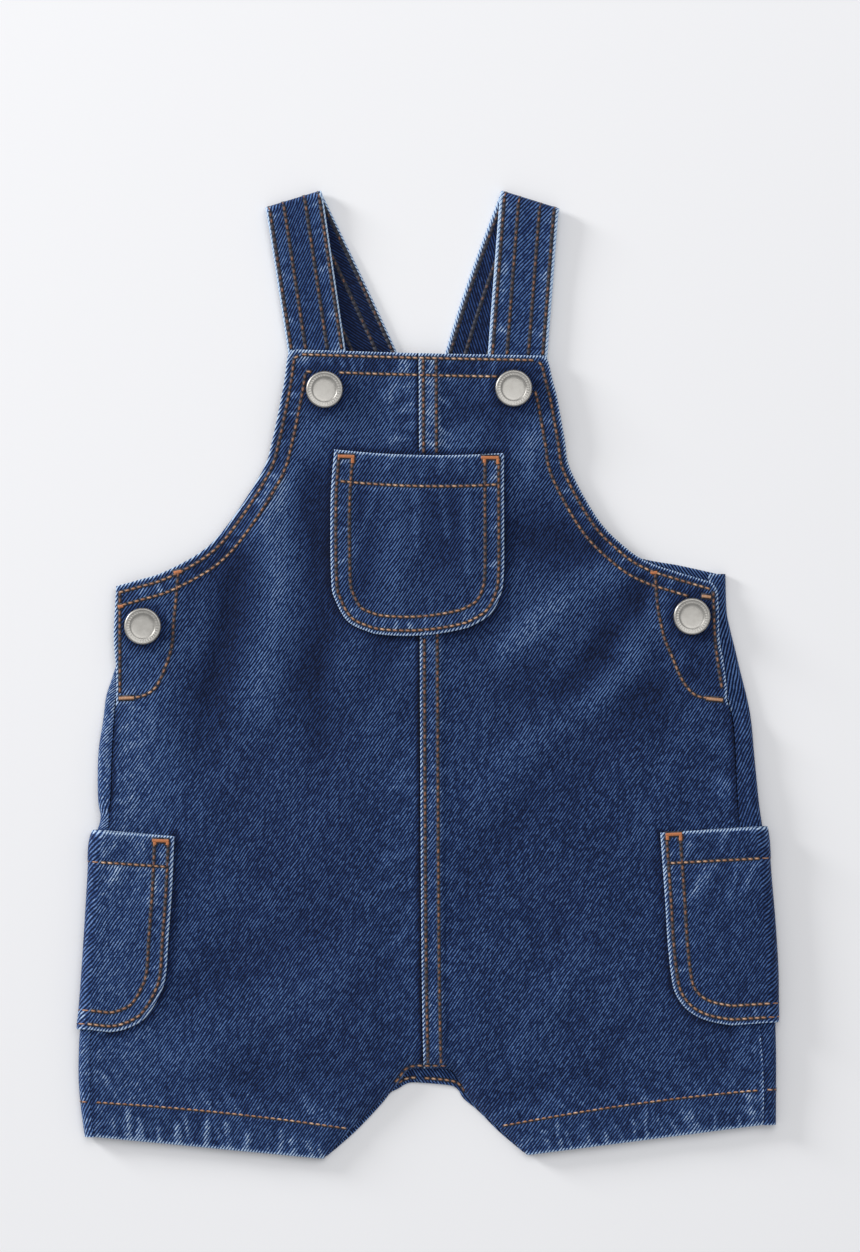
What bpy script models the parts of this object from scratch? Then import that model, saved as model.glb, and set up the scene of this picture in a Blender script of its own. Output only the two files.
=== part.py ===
"""Kids dungarees: short denim dungarees for a baby, laid flat on their back.

The garment lies on a surface at z = 0 with its front up. +Y runs from the legs to the shoulders,
+X to the right of someone looking down at the front. "left" and "right" are that viewer's.
All tables are in millimetres: x across from the centre seam, y up from the crotch, z above the
surface. The meshes are made in metres, about the middle of the garment's outline.
"""
import math

import bmesh
import bpy
import numpy as np

MM = 0.001

# ---- driving dimensions, mm -------------------------------------------------------------------
CLOTH = 1.2             # wall of a panel or a pocket
STRAP = 1.6             # a strap is two layers of cloth
GAP = 0.3               # air left between two pieces that touch
MIDDLE = (2.8, 161.75)  # middle of the outline, from the crotch point

LAP_WIDTH = 9.0         # the lap of the centre seam, on the right front
LAP_RISE = 0.7
HEM_RISE = 0.5          # a hem is turned up twice

BEND_REACH = 3.2        # how far the rounded side stands out from where the bend starts
BEND_STEPS = 6
UNDERLAP_TOP = 3.0      # top of the layer that passes under the front's placket
UNDERLAP_WIDTH = 18.0
TAIL_LAP = 1.5          # how far the back's turned edge passes under the placket
PLACKET_FOOT = 151.5    # y at which the placket ends and the side seam begins
WAIST_ROW = 176.0       # y of the back's first level row, below the armholes
SEAM_EASE = 0.4         # gap between front and back along the side seam

CAP_RADIUS = 7.6        # press stud, 24 line
CAP_HEIGHT = 2.2
BASE_RADIUS = 4.5
PAD_RADIUS = 8.5        # flat round of cloth that a stud is pressed on
STUDS = {               # name: x, y, underside of the front there, top of the layer below it
    "bib_left": (-39.5, 278.5, 4.9, 1.9 + STRAP),
    "bib_right": (38.0, 279.0, 4.9, 1.9 + STRAP),
    "side_left": (-114.0, 181.5, 4.5, UNDERLAP_TOP),
    "side_right": (111.0, 185.5, 4.5, UNDERLAP_TOP),
}

# ---- outlines, mm -----------------------------------------------------------------------------
CENTRE_SEAM = [(-1.0, 293.5), (0.0, 69.5), (1.0, 0.0)]
ARMHOLE = {
    "left": [(-51.5, 295.0), (-54.0, 293.5), (-55.0, 290.5), (-56.0, 282.5), (-57.5, 274.5), (-61.0, 258.0),
             (-65.0, 245.5), (-78.0, 225.0), (-89.0, 213.0), (-105.0, 204.0), (-116.0, 200.5), (-125.0, 198.0)],
    "right": [(49.0, 292.5), (51.5, 291.5), (52.5, 289.0), (54.0, 282.5), (56.0, 274.5), (59.0, 258.0),
              (61.5, 245.5), (73.0, 225.0), (85.0, 213.0), (94.0, 207.5), (106.0, 203.5), (119.5, 199.5)],
}
SIDE_EDGE = {           # the front's outer edge: placket, then side seam, top to bottom
    "left": [(-125.0, 198.0), (-125.5, 189.5), (-126.0, 176.0), (-125.0, 163.0), (-125.0, 151.5),
             (-125.5, 145.0), (-126.5, 126.5), (-127.0, 110.5), (-129.0, 90.0), (-132.0, 57.0),
             (-135.0, 20.0), (-135.5, 3.5), (-135.5, -13.5), (-134.0, -28.0)],
    "right": [(119.5, 199.5), (121.5, 196.0), (122.0, 189.5), (122.5, 176.0), (124.0, 167.5), (125.5, 155.5),
              (125.5, 151.5), (127.5, 143.0), (128.5, 133.0), (129.5, 110.5), (131.0, 94.0), (135.0, 57.0),
              (139.0, 16.0), (140.0, 3.5), (140.5, -8.5), (140.5, -23.0)],
}
OUTLINE = {             # where the side rounds over, the back's cloth, top to bottom
    "left": [(-123.5, 198.0), (-124.0, 172.0), (-126.5, 161.5), (-128.5, 155.5), (-129.5, 151.5),
             (-130.5, 143.0), (-132.5, 128.5), (-132.5, 110.5), (-131.5, 102.5), (-134.5, 92.0),
             (-135.5, 77.5), (-137.0, 53.0), (-138.7, 28.5), (-140.2, 12.0), (-140.5, -4.5), (-139.5, -17.0),
             (-138.0, -28.0)],
    "right": [(125.0, 203.0), (125.5, 188.0), (127.0, 180.0), (129.0, 172.0), (131.0, 163.5), (134.0, 151.5),
              (135.5, 143.0), (137.0, 126.5), (138.5, 110.5), (139.5, 103.0), (141.5, 90.0), (142.5, 77.5),
              (144.0, 60.0), (145.2, 40.0), (145.4, 20.0), (145.7, 3.5), (145.7, -23.0)],
}
INSEAM = {              # the front's inner leg edge, from the crotch point to the hem
    "left": [(1.0, 0.0), (-2.0, 0.0), (-5.5, -1.0), (-8.0, -4.5), (-12.0, -9.0), (-17.0, -13.5),
             (-28.0, -24.5), (-40.0, -37.0)],
    "right": [(1.0, 0.0), (8.0, 0.0), (12.0, -0.5), (15.0, -3.5), (17.5, -8.0), (19.5, -12.0),
              (24.0, -17.0), (32.5, -25.0), (43.5, -35.5)],
}
BACK_ARMHOLE = {        # from the corner of the back bib to where the side starts to round over
    "left": [(-28.5, 273.5), (-31.0, 262.0), (-37.5, 245.5), (-49.5, 227.0), (-68.0, 213.5), (-90.5, 205.5),
             (-120.3, 198.0)],
    "right": [(33.0, 273.5), (35.5, 262.0), (41.5, 245.5), (53.0, 227.0), (69.5, 216.5), (90.0, 209.5),
              (106.0, 206.5), (121.8, 203.0)],
}
BACK_INSEAM = {         # the back shows below the front at the crotch
    "left": [(1.0, -6.0), (-5.0, -6.0), (-9.5, -8.5), (-12.5, -10.0), (-16.5, -15.0), (-27.0, -26.0),
             (-38.5, -36.0)],
    "right": [(1.0, -6.0), (11.5, -7.0), (15.0, -8.5), (17.5, -12.5), (23.5, -17.5), (32.0, -26.0),
              (42.0, -34.5)],
}
# Where the rows of a half panel reach the outer edge at the crotch and at the hem's stitching, the
# share of the inseam above that stitching, and how far the row there bows up.
ROW_LEVELS = {          # side: crotch_y, stitch_y, hem_y, inseam_share, bow
    "left": (10.0, -13.5, -28.0, 0.70, 1.3),
    "right": (10.0, -8.5, -23.0, 0.71, 1.6),
}

# ---- heights, mm ------------------------------------------------------------------------------
PLATEAU = [(295, 3.9), (250, 3.9), (225, 4.1), (190, 4.5), (140, 4.7), (20, 4.7), (-10, 4.3), (-37, 3.6)]
SIDE_LEVEL = [(203, 3.35), (148, 3.35), (138, 4.0), (128, 4.0), (112, 5.0), (2, 5.0), (-10, 4.2), (-37, 3.8)]
TAIL_LEVEL = [(205, UNDERLAP_TOP), (148, UNDERLAP_TOP), (138, 5.2)]
ARMHOLE_ROLL, SIDE_ROLL, INSEAM_ROLL, HEM_ROLL = 14.0, 26.0, 7.0, 14.0
INSEAM_LEVEL = CLOTH + GAP
HEM_LEVEL = 2.7
FOLDS = [               # soft troughs in the front: x0, y0, x1, y1, half_width, depth
    (-76.0, 198.0, -86.0, 150.0, 5.5, 0.7),
    (-100.0, 150.0, -88.0, 118.0, 6.0, 0.5),
    (91.0, 200.0, 101.0, 168.0, 5.0, 0.6),
    (104.0, 146.0, 92.0, 112.0, 6.0, 0.5),
    (-22.0, 6.0, -52.0, 30.0, 6.0, 0.6),
    (28.0, 2.0, 60.0, 22.0, 6.0, 0.6),
    (-58.0, 236.0, -44.0, 206.0, 5.5, 0.5),
]

# ---- pockets, mm ------------------------------------------------------------------------------
BIB_POCKET = {
    "left": [(-35.5, 254.0), (-37.0, 233.5), (-36.8, 201.0), (-35.0, 192.0), (-29.5, 183.0), (-19.5, 178.5)],
    "right": [(34.0, 252.5), (34.0, 233.5), (34.0, 204.0), (32.5, 194.0), (28.0, 186.0), (19.5, 181.0)],
}
BIB_POCKET_SAG = (1.6, 2.0)     # the mouth and the foot bow down in the middle
SIDE_POCKET = {                 # its edge on the front; the back half is its mirror image
    "left": [(-101.0, 95.5), (-102.0, 73.5), (-103.5, 53.0), (-104.5, 38.5), (-107.0, 30.5), (-113.0, 21.0),
             (-121.0, 16.5), (-127.5, 15.2)],
    "right": [(98.0, 97.0), (100.0, 69.5), (101.0, 53.0), (102.5, 38.5), (104.5, 30.5), (109.5, 24.0),
              (117.0, 20.0), (127.0, 18.0)],
}
POCKET_TILT = (2.5, 1.2)        # a side pocket's mouth and foot rise towards the side
MOUTH_EASE = 0.5                # a pocket's mouth stands off the panel

# ---- straps, mm: each a strip folded over at the shoulder ---------------------------------------
STRAPS = {              # ends of the cross rows: under the bib, at the shoulder, under the back bib
    "left": {"front": ((-51.5, 274.5), (-28.0, 274.5)), "fold": ((-64.0, 353.5), (-41.0, 360.5)),
             "back": ((-21.5, 260.5), (2.0, 267.5))},
    "right": {"front": ((26.0, 274.5), (50.5, 274.5)), "fold": ((33.0, 360.5), (57.0, 353.0)),
              "back": ((2.9, 267.5), (27.0, 260.5))},
}
BACK_LEG_BOW = {"left": 0.6, "right": -1.8}     # how far its middle swings across, towards +X
STRAP_FOLD_MIDDLE = 3.6         # middle height of the front leg at the fold, and past it
STRAP_FRONT_MIDDLE = 1.9 + STRAP / 2
BACK_BIB_RISE = STRAP + GAP     # the back bib lies on the ends of the straps

SIDES = ("left", "right")
DENIM = (0.045, 0.075, 0.19, 1.0)
NICKEL = (0.62, 0.60, 0.57, 1.0)


# ---- helpers ----------------------------------------------------------------------------------
def smooth(value, start, end):
    """0 before start, 1 past end, and a soft ramp between them; end may lie below start."""
    t = np.clip((np.asarray(value, float) - start) / (end - start), 0.0, 1.0)
    return t * t * (3.0 - 2.0 * t)


def level(y, table):
    """The height that a table of (y, height) gives, top row first, with soft steps between."""
    y = np.asarray(y, float)
    height = np.full(y.shape, float(table[0][1]))
    for (y0, h0), (y1, h1) in zip(table, table[1:]):
        height = height + (h1 - h0) * smooth(y, y0, y1)
    return height


def spline(points, count=None, start=0.0, end=1.0):
    """A smooth curve through points, resampled evenly by length between two shares of it."""
    p = np.array([points[0], *points, points[-1]], float)
    t = np.linspace(0.0, 1.0, 13)[:, None]
    pieces = []
    for a, b, c, d in zip(p, p[1:], p[2:], p[3:]):
        pieces.append(0.5 * (2 * b + (c - a) * t + (2 * a - 5 * b + 4 * c - d) * t**2
                             + (3 * b - a - 3 * c + d) * t**3))
    dense = np.concatenate(pieces)
    if count is None:
        return dense
    length = np.concatenate([[0.0], np.cumsum(np.hypot(*np.diff(dense, axis=0).T))])
    wanted = np.linspace(start, end, count) * length[-1]
    return np.column_stack([np.interp(wanted, length, dense[:, i]) for i in (0, 1)])


def x_at(points, y):
    """x of an edge that runs from top to bottom, at height y."""
    dense = spline(points)
    order = np.argsort(dense[:, 1])
    return np.interp(y, dense[order, 1], dense[order, 0])


def distance(x, y, line):
    """Distance of each point from a polyline."""
    best = np.full(np.shape(x), 1e9)
    for (x0, y0), (x1, y1) in zip(line, line[1:]):
        dx, dy = x1 - x0, y1 - y0
        span = dx * dx + dy * dy
        if span < 1e-9:
            continue
        t = np.clip(((x - x0) * dx + (y - y0) * dy) / span, 0.0, 1.0)
        best = np.minimum(best, np.hypot(x - x0 - t * dx, y - y0 - t * dy))
    return best


def seam_x(y):
    return x_at(CENTRE_SEAM, y)


# ---- the form of the garment --------------------------------------------------------------------
def side_of(x):
    return "left" if np.mean(x) < 0 else "right"


def front_under(x, y, side=None):
    """Height of the front's underside: a low plateau that rolls down at each open edge."""
    x, y = np.asarray(x, float), np.asarray(y, float)
    side = side or side_of(x)
    plateau = level(y, PLATEAU)
    armhole_level = 2.0 + 1.35 * smooth(abs(x), 75, 98) + 1.9 * smooth(y, 245, 265)
    hem = [spline(INSEAM[side])[-1], spline(SIDE_EDGE[side])[-1]]
    edges = [
        (armhole_level, distance(x, y, spline(ARMHOLE[side])), ARMHOLE_ROLL),
        (level(y, SIDE_LEVEL), abs(x_at(SIDE_EDGE[side], y) - x), SIDE_ROLL),
        (INSEAM_LEVEL, distance(x, y, spline(INSEAM[side])), INSEAM_ROLL),
        (HEM_LEVEL, distance(x, y, hem), HEM_ROLL),
    ]
    down, up = 0.0, 0.0
    for edge_level, away, roll in edges:
        share = 1.0 - np.sin(0.5 * math.pi * np.clip(away / roll, 0.0, 1.0))
        shift = (edge_level - plateau) * share
        down, up = np.minimum(down, shift), np.maximum(up, shift)
    height = plateau + down + up
    for x0, y0, x1, y1, half_width, depth in FOLDS:
        height = height - depth * np.exp(-(distance(x, y, [(x0, y0), (x1, y1)]) / half_width) ** 2)
    for stud_x, stud_y, pad, _ in STUDS.values():
        share = smooth(np.hypot(x - stud_x, y - stud_y), PAD_RADIUS + 6.5, PAD_RADIUS)
        height = height + (pad - height) * share
    return height


def lap_rise(x, y):
    """Extra height of the lapped centre seam."""
    return LAP_RISE * smooth(x - seam_x(y), LAP_WIDTH + 0.4, LAP_WIDTH - 0.4) * smooth(y, -1, 2)


def back_rise(x, y):
    """How far the back is lifted by the side pockets' back halves and by the straps' ends."""
    pockets = (GAP + CLOTH) * smooth(abs(np.asarray(x)), 70, 86) * smooth(y, 128, 112) * smooth(y, -14, 2)
    return pockets + BACK_BIB_RISE * smooth(y, 232, 252)


def tail_top(y):
    """Outer height of the back's cloth where it comes round the side and faces up."""
    return np.where(y > 138, level(y, TAIL_LEVEL), level(y, SIDE_LEVEL) + CLOTH)


def bend(side, y, turn, out):
    """A point on the rounded side: turn 0 is its top, 1 its foot; out is the way out of the cloth."""
    foot = back_rise(x_at(OUTLINE[side], y), y)
    half = 0.5 * (tail_top(y) - foot)
    angle = math.pi * turn
    x = abs(x_at(OUTLINE[side], y)) - BEND_REACH + (BEND_REACH + out) * math.sin(angle)
    return (math.copysign(x, -1 if side == "left" else 1), y, foot + half + (half + out) * math.cos(angle))


# ---- making solids ------------------------------------------------------------------------------
def material(name, colour, metallic=0.0, roughness=0.85):
    made = bpy.data.materials.new(name)
    made.use_nodes = True
    shader = made.node_tree.nodes["Principled BSDF"]
    shader.inputs["Base Color"].default_value = colour
    shader.inputs["Metallic"].default_value = metallic
    shader.inputs["Roughness"].default_value = roughness
    return made


def add_object(name, mesh, made):
    mesh.materials.append(made)
    piece = bpy.data.objects.new(name, mesh)
    bpy.data.collections["Kids dungarees"].objects.link(piece)
    return piece


def shell(name, outer, inner):
    """A cloth wall between two grids of points of the same size, closed round its rim."""
    rows, cols = outer.shape[:2]
    points = np.concatenate([outer.reshape(-1, 3), inner.reshape(-1, 3)])
    points = (points - (*MIDDLE, 0.0)) * MM
    half = rows * cols
    faces = []
    for r in range(rows - 1):
        for c in range(cols - 1):
            a = r * cols + c
            quad = (a, a + 1, a + cols + 1, a + cols)
            faces.append(quad)
            faces.append(tuple(half + i for i in reversed(quad)))
    top = list(range(cols))
    far = [r * cols + cols - 1 for r in range(1, rows)]
    foot = [(rows - 1) * cols + c for c in range(cols - 2, -1, -1)]
    near = [r * cols for r in range(rows - 2, 0, -1)]
    rim = top + far + foot + near
    for a, b in zip(rim, rim[1:] + rim[:1]):
        faces.append((b, a, half + a, half + b))
    mesh = bpy.data.meshes.new(name)
    mesh.from_pydata([tuple(p) for p in points], [], faces)
    work = bmesh.new()
    work.from_mesh(mesh)
    bmesh.ops.recalc_face_normals(work, faces=work.faces)
    work.to_mesh(mesh)
    work.free()
    return add_object(name, mesh, material(name, DENIM))


def across(inner, outer, near, middle, far):
    """Points along one row: set distances from each end, and even steps between them."""
    inner, outer = np.array(inner, float), np.array(outer, float)
    width = np.hypot(*(outer - inner))
    steps = np.linspace(near[-1], width - far[0], middle + 2)[1:-1]
    along = np.concatenate([near, steps, width - np.array(far)]) / width
    return inner + (outer - inner) * along[:, None], along


# ---- panels -------------------------------------------------------------------------------------
def front_rows(side):
    """Ends of the front's rows from the bib to the hem: inner point, outer point, bow, hem share."""
    crotch_y, stitch_y, hem_y, share, bow = ROW_LEVELS[side]
    armhole = spline(ARMHOLE[side], 13)
    rows = []
    for y, outer in zip(np.linspace(CENTRE_SEAM[0][1], 197.5, 13), armhole):
        rows.append(((seam_x(y), y), outer, 0.0, 0.0))
    for t in np.linspace(0.0, 1.0, 5)[1:]:
        y = armhole[-1][1] + (PLACKET_FOOT - armhole[-1][1]) * t
        inner_y = 197.5 + (PLACKET_FOOT - 197.5) * t
        rows.append(((seam_x(inner_y), inner_y), (x_at(SIDE_EDGE[side], y), y), 0.0, 0.0))
    for t in [*np.linspace(0.0, 1.0, 12)[1:-1], 0.955, 1.0]:
        y = PLACKET_FOOT + (crotch_y - PLACKET_FOOT) * t
        inner_y = PLACKET_FOOT * (1.0 - t)
        rows.append(((seam_x(inner_y), inner_y), (x_at(SIDE_EDGE[side], y), y), 0.0, 0.0))
    for t, inner in zip(np.linspace(0.0, 1.0, 6)[1:], spline(INSEAM[side], 6, 0.0, share)[1:]):
        y = crotch_y + (stitch_y - crotch_y) * t
        rows.append((inner, (x_at(SIDE_EDGE[side], y), y), bow * t, 0.0))
    for t in (0.06, 1.0):
        inner = spline(INSEAM[side], 2, 0.0, share + (1.0 - share) * t)[-1]
        y = stitch_y + (hem_y - stitch_y) * t
        rows.append((inner, (x_at(SIDE_EDGE[side], y), y), bow * (1.0 - t), 1.0))
    return rows


def make_front(side):
    outer, inner = [], []
    for start, end, bow, hem in front_rows(side):
        points, along = across(start, end, (0, 1.4, 4.0, 8.5, 9.5, 17.0), 5, (14, 6, 1.5, 0))
        x, y = points[:, 0], points[:, 1] + 4 * bow * along * (1 - along)
        under = front_under(x, y, side)
        thick = CLOTH + HEM_RISE * hem
        if side == "right":
            thick = thick + lap_rise(x, y)
            x = x + 0.5 * GAP * (1 - smooth(along, 0.0, 0.02))
        else:
            x = x - 0.5 * GAP * (1 - smooth(along, 0.0, 0.02))
        inner.append(np.column_stack([x, y, under]))
        outer.append(np.column_stack([x, y, under + thick]))
    return shell(f"front_{side}", np.array(outer), np.array(inner))


def back_rows(side):
    """The back's rows from its top edge to the hem, each from the centre seam to the side's bend."""
    sign = -1.0 if side == "left" else 1.0
    crotch_y, stitch_y, hem_y, _, _ = ROW_LEVELS[side]
    corner_x, corner_y = BACK_ARMHOLE[side][0]
    bib_top = [(corner_x * share, corner_y) for share in (0.0, 0.14, 0.55)]
    top = np.concatenate([bib_top, spline(BACK_ARMHOLE[side], 11)])
    shares = (top[:, 0] / top[-1, 0])[:, None]

    def level_row(inner, y):
        outer = np.array((x_at(OUTLINE[side], y) - sign * BEND_REACH, y))
        return inner + (outer - inner) * shares

    waist = level_row(np.array((0.0, WAIST_ROW)), WAIST_ROW)
    rows = [top + (waist - top) * t for t in np.linspace(0.0, 1.0, 10)]
    for y in np.linspace(WAIST_ROW, PLACKET_FOOT + 2.0, 4)[1:]:
        rows.append(level_row(np.array((0.0, y)), y))
    inseam = spline(BACK_INSEAM[side], 8)
    for t in np.linspace(0.0, 1.0, 12):
        inner = np.array((0.0, PLACKET_FOOT + (inseam[0, 1] - PLACKET_FOOT) * t))
        rows.append(level_row(inner, PLACKET_FOOT + (crotch_y - PLACKET_FOOT) * t))
    levels = [crotch_y + (stitch_y - crotch_y) * t for t in np.linspace(0.0, 1.0, 6)[1:]]
    levels += [stitch_y + (hem_y - stitch_y) * 0.06, hem_y]
    for y, inner in zip(levels, inseam[1:]):
        rows.append(level_row(inner, y))
    return rows


def make_back(side):
    """The back, which rounds the side and ends in a tail that faces up beside the front."""
    sign = -1.0 if side == "left" else 1.0
    turns = np.linspace(1.0, 0.0, BEND_STEPS + 1)
    outer, inner = [], []
    for flat in back_rows(side):
        x, y = flat[:, 0], flat[:, 1]
        x = x + sign * 0.5 * GAP * (np.arange(len(x)) == 0)
        side_y = y[-1]
        seam = abs(x_at(SIDE_EDGE[side], side_y))
        tail = seam - TAIL_LAP if side_y > PLACKET_FOOT + 1.0 else seam + SEAM_EASE
        for grid, inset in ((outer, 0.0), (inner, CLOTH)):
            low = np.column_stack([x, y, back_rise(x, y) + inset])
            rounded = [bend(side, side_y, turn, -inset) for turn in turns]
            grid.append(np.concatenate([low, rounded, [(sign * tail, side_y, tail_top(side_y) - inset)]]))
    return shell(f"back_{side}", np.array(outer), np.array(inner))


def make_underlap(side):
    """The strip of the back's placket that carries the lower half of the side stud."""
    sign = -1.0 if side == "left" else 1.0
    rows = []
    for y in np.linspace(195.0, PLACKET_FOOT + 2.0, 7):
        edge = abs(x_at(SIDE_EDGE[side], y)) - TAIL_LAP - 1.5 * GAP
        x = sign * np.array([edge - UNDERLAP_WIDTH, edge - 0.5 * UNDERLAP_WIDTH, edge])
        rows.append(np.column_stack([x, np.full(3, y), np.full(3, UNDERLAP_TOP)]))
    top = np.array(rows)
    return shell(f"underlap_{side}", top, top - (0.0, 0.0, CLOTH))


# ---- pockets ------------------------------------------------------------------------------------
def make_bib_pocket():
    left, right = spline(BIB_POCKET["left"], 9), spline(BIB_POCKET["right"], 9)
    shares = np.concatenate([[0.0, 0.04], np.linspace(0.14, 0.86, 5), [0.96, 1.0]])
    outer, inner = [], []
    for i, (start, end) in enumerate(zip(left, right)):
        down_the_pocket = i / (len(left) - 1)
        points = start + (end - start) * shares[:, None]
        sag = BIB_POCKET_SAG[0] * (1 - down_the_pocket) + BIB_POCKET_SAG[1] * down_the_pocket**3
        x, y = points[:, 0], points[:, 1] - 4 * sag * shares * (1 - shares)
        under = np.where(x < 0, front_under(x, y, "left"), front_under(x, y, "right"))
        over_lap = LAP_RISE * smooth(abs(x - 4.0), 26, 12)
        ease = GAP + MOUTH_EASE * smooth(down_the_pocket, 0.15, 0.0)
        base = under + CLOTH + over_lap + ease
        inner.append(np.column_stack([x, y, base]))
        outer.append(np.column_stack([x, y, base + CLOTH]))
    return shell("bib_pocket", np.array(outer), np.array(inner))


def make_side_pocket(side):
    """A patch pocket that goes from the front, round the side, to the back."""
    sign = -1.0 if side == "left" else 1.0
    edge = spline(SIDE_POCKET[side], 9)
    turns = np.linspace(0.0, 1.0, BEND_STEPS + 1)
    shares = np.array([0.0, 0.05, 0.3, 0.55, 0.8])
    outer, inner = [], []
    for i, (edge_x, edge_y) in enumerate(edge):
        down_the_pocket = i / (len(edge) - 1)
        tilt = POCKET_TILT[0] + (POCKET_TILT[1] - POCKET_TILT[0]) * down_the_pocket
        ease = GAP + MOUTH_EASE * smooth(down_the_pocket, 0.15, 0.0)
        side_y = edge_y + tilt
        bend_x = abs(x_at(OUTLINE[side], side_y)) - BEND_REACH
        x = abs(edge_x) + (bend_x - abs(edge_x)) * shares
        y = edge_y + tilt * shares
        beyond = x > abs(x_at(SIDE_EDGE[side], y))
        skin = np.where(beyond, tail_top(y), front_under(sign * x, y, side) + CLOTH)
        front_in = np.column_stack([sign * x, y, skin + ease])
        front_out = front_in + (0.0, 0.0, CLOTH)
        bend_in = np.array([bend(side, side_y, t, ease) for t in turns])
        bend_out = np.array([bend(side, side_y, t, ease + CLOTH) for t in turns])
        low = back_rise(sign * x, y)
        lower_ease = np.minimum(ease, GAP)
        bend_in[:, 2] = np.maximum(bend_in[:, 2], low[-1] - lower_ease)
        bend_out[:, 2] = np.maximum(bend_out[:, 2], low[-1] - lower_ease - CLOTH)
        back_in = np.column_stack([sign * x, y, low - lower_ease])[::-1]
        back_out = back_in - (0.0, 0.0, CLOTH)
        inner.append(np.concatenate([front_in, bend_in, back_in]))
        outer.append(np.concatenate([front_out, bend_out, back_out]))
    return shell(f"side_pocket_{side}", np.array(outer), np.array(inner))


# ---- straps -------------------------------------------------------------------------------------
def make_strap(side):
    rows = {name: np.array(ends, float) for name, ends in STRAPS[side].items()}
    fold_along = rows["fold"][1] - rows["fold"][0]
    fold_along = fold_along / np.hypot(*fold_along)
    out_of_fold = np.array([-fold_along[1], fold_along[0]])
    back_middle = 0.5 * STRAP
    radius = 0.5 * (STRAP_FOLD_MIDDLE - back_middle)
    fold = rows["fold"] - out_of_fold * (radius + 0.5 * STRAP)
    stations = []               # ends of the row, middle height, turn from facing up to facing down
    for t in np.linspace(0.0, 1.0, 9)[:-1]:
        ends = rows["front"] + (fold - rows["front"]) * t
        settle = smooth(t, 0.6, 1.0)
        height = STRAP_FRONT_MIDDLE + (STRAP_FOLD_MIDDLE - STRAP_FRONT_MIDDLE) * settle
        stations.append((ends, height, 0.0))
    for angle in np.linspace(0.0, math.pi, 7):
        ends = fold + out_of_fold * radius * math.sin(angle)
        stations.append((ends, back_middle + radius * (1 + math.cos(angle)), angle))
    for t in np.linspace(0.0, 1.0, 9)[1:]:
        swing = np.array([BACK_LEG_BOW[side] * math.sin(math.pi * t), 0.0])
        stations.append((fold + (rows["back"] - fold) * t + swing, back_middle, math.pi))
    outer, inner = [], []
    for ends, height, angle in stations:
        for grid, offset in ((outer, 0.5 * STRAP), (inner, -0.5 * STRAP)):
            shifted = ends + out_of_fold * offset * math.sin(angle)
            middle = shifted.mean(axis=0)
            line = np.array([shifted[0], middle, shifted[1]])
            grid.append(np.column_stack([line, np.full(3, height + offset * math.cos(angle))]))
    return shell(f"strap_{side}", np.array(outer), np.array(inner))


# ---- press studs --------------------------------------------------------------------------------
def turned(name, profile, x, y, z, steps):
    """A turned metal piece: its profile runs from the axis at the top to the axis at the foot."""
    mesh = bpy.data.meshes.new(name)
    points = [(r * MM, 0.0, h * MM) for r, h in profile]
    mesh.from_pydata(points, [(i, i + 1) for i in range(len(points) - 1)], [])
    piece = add_object(name, mesh, material(name, NICKEL, 1.0, 0.4))
    piece.location = ((x - MIDDLE[0]) * MM, (y - MIDDLE[1]) * MM, z * MM)
    screw = piece.modifiers.new("turn", "SCREW")
    screw.axis = "Z"
    screw.steps = screw.render_steps = steps
    screw.use_merge_vertices = True
    screw.merge_threshold = 0.00001
    return piece


def make_stud(place):
    x, y, pad, below = STUDS[place]
    r, h = CAP_RADIUS, CAP_HEIGHT
    cap = [(0, 0.62 * h), (0.66 * r, 0.62 * h), (0.72 * r, 0.86 * h), (0.86 * r, h), (0.95 * r, 0.84 * h),
           (r, 0.5 * h), (0.96 * r, 0.14 * h), (0.88 * r, 0), (0, 0)]
    turned(f"stud_cap_{place}", cap, x, y, pad + CLOTH + GAP, 24)
    tall = pad - below - 2 * GAP
    r = BASE_RADIUS
    base = [(0, tall), (0.75 * r, tall), (r, 0.6 * tall), (r, 0), (0, 0)]
    turned(f"stud_base_{place}", base, x, y, below + GAP, 14)


def clear_scene():
    for piece in list(bpy.data.objects):
        bpy.data.objects.remove(piece, do_unlink=True)
    group = bpy.data.collections.new("Kids dungarees")
    bpy.context.scene.collection.children.link(group)


def main():
    clear_scene()
    for side in SIDES:
        make_back(side)
        make_underlap(side)
        make_front(side)
        make_side_pocket(side)
        make_strap(side)
    make_bib_pocket()
    for place in STUDS:
        make_stud(place)


main()
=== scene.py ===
import math

import bpy
import numpy as np
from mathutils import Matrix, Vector
from mathutils.bvhtree import BVHTree


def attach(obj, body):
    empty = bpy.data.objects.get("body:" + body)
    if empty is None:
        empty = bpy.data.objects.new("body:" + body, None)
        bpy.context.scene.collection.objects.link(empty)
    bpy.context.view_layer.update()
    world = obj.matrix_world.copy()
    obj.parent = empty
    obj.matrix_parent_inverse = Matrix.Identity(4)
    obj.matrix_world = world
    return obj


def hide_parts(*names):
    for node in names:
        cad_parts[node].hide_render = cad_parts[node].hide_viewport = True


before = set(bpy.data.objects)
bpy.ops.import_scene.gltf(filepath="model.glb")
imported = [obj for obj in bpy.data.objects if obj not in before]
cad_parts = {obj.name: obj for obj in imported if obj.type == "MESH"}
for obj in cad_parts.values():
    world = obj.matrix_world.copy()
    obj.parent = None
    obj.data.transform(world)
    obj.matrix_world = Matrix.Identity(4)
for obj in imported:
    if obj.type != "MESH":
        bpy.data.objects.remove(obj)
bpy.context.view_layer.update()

# The looks of the kids dungarees. Tables are in millimetres in the cut's own axes: x across from
# the centre seam, y up from the crotch, z above the surface. "left" and "right" are the viewer's.
MM = 0.001
MIDDLE = (2.8, 161.75)          # middle of the garment's outline, from the crotch point
SIDES = ("left", "right")
SIGN = {"left": -1.0, "right": 1.0}

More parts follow.
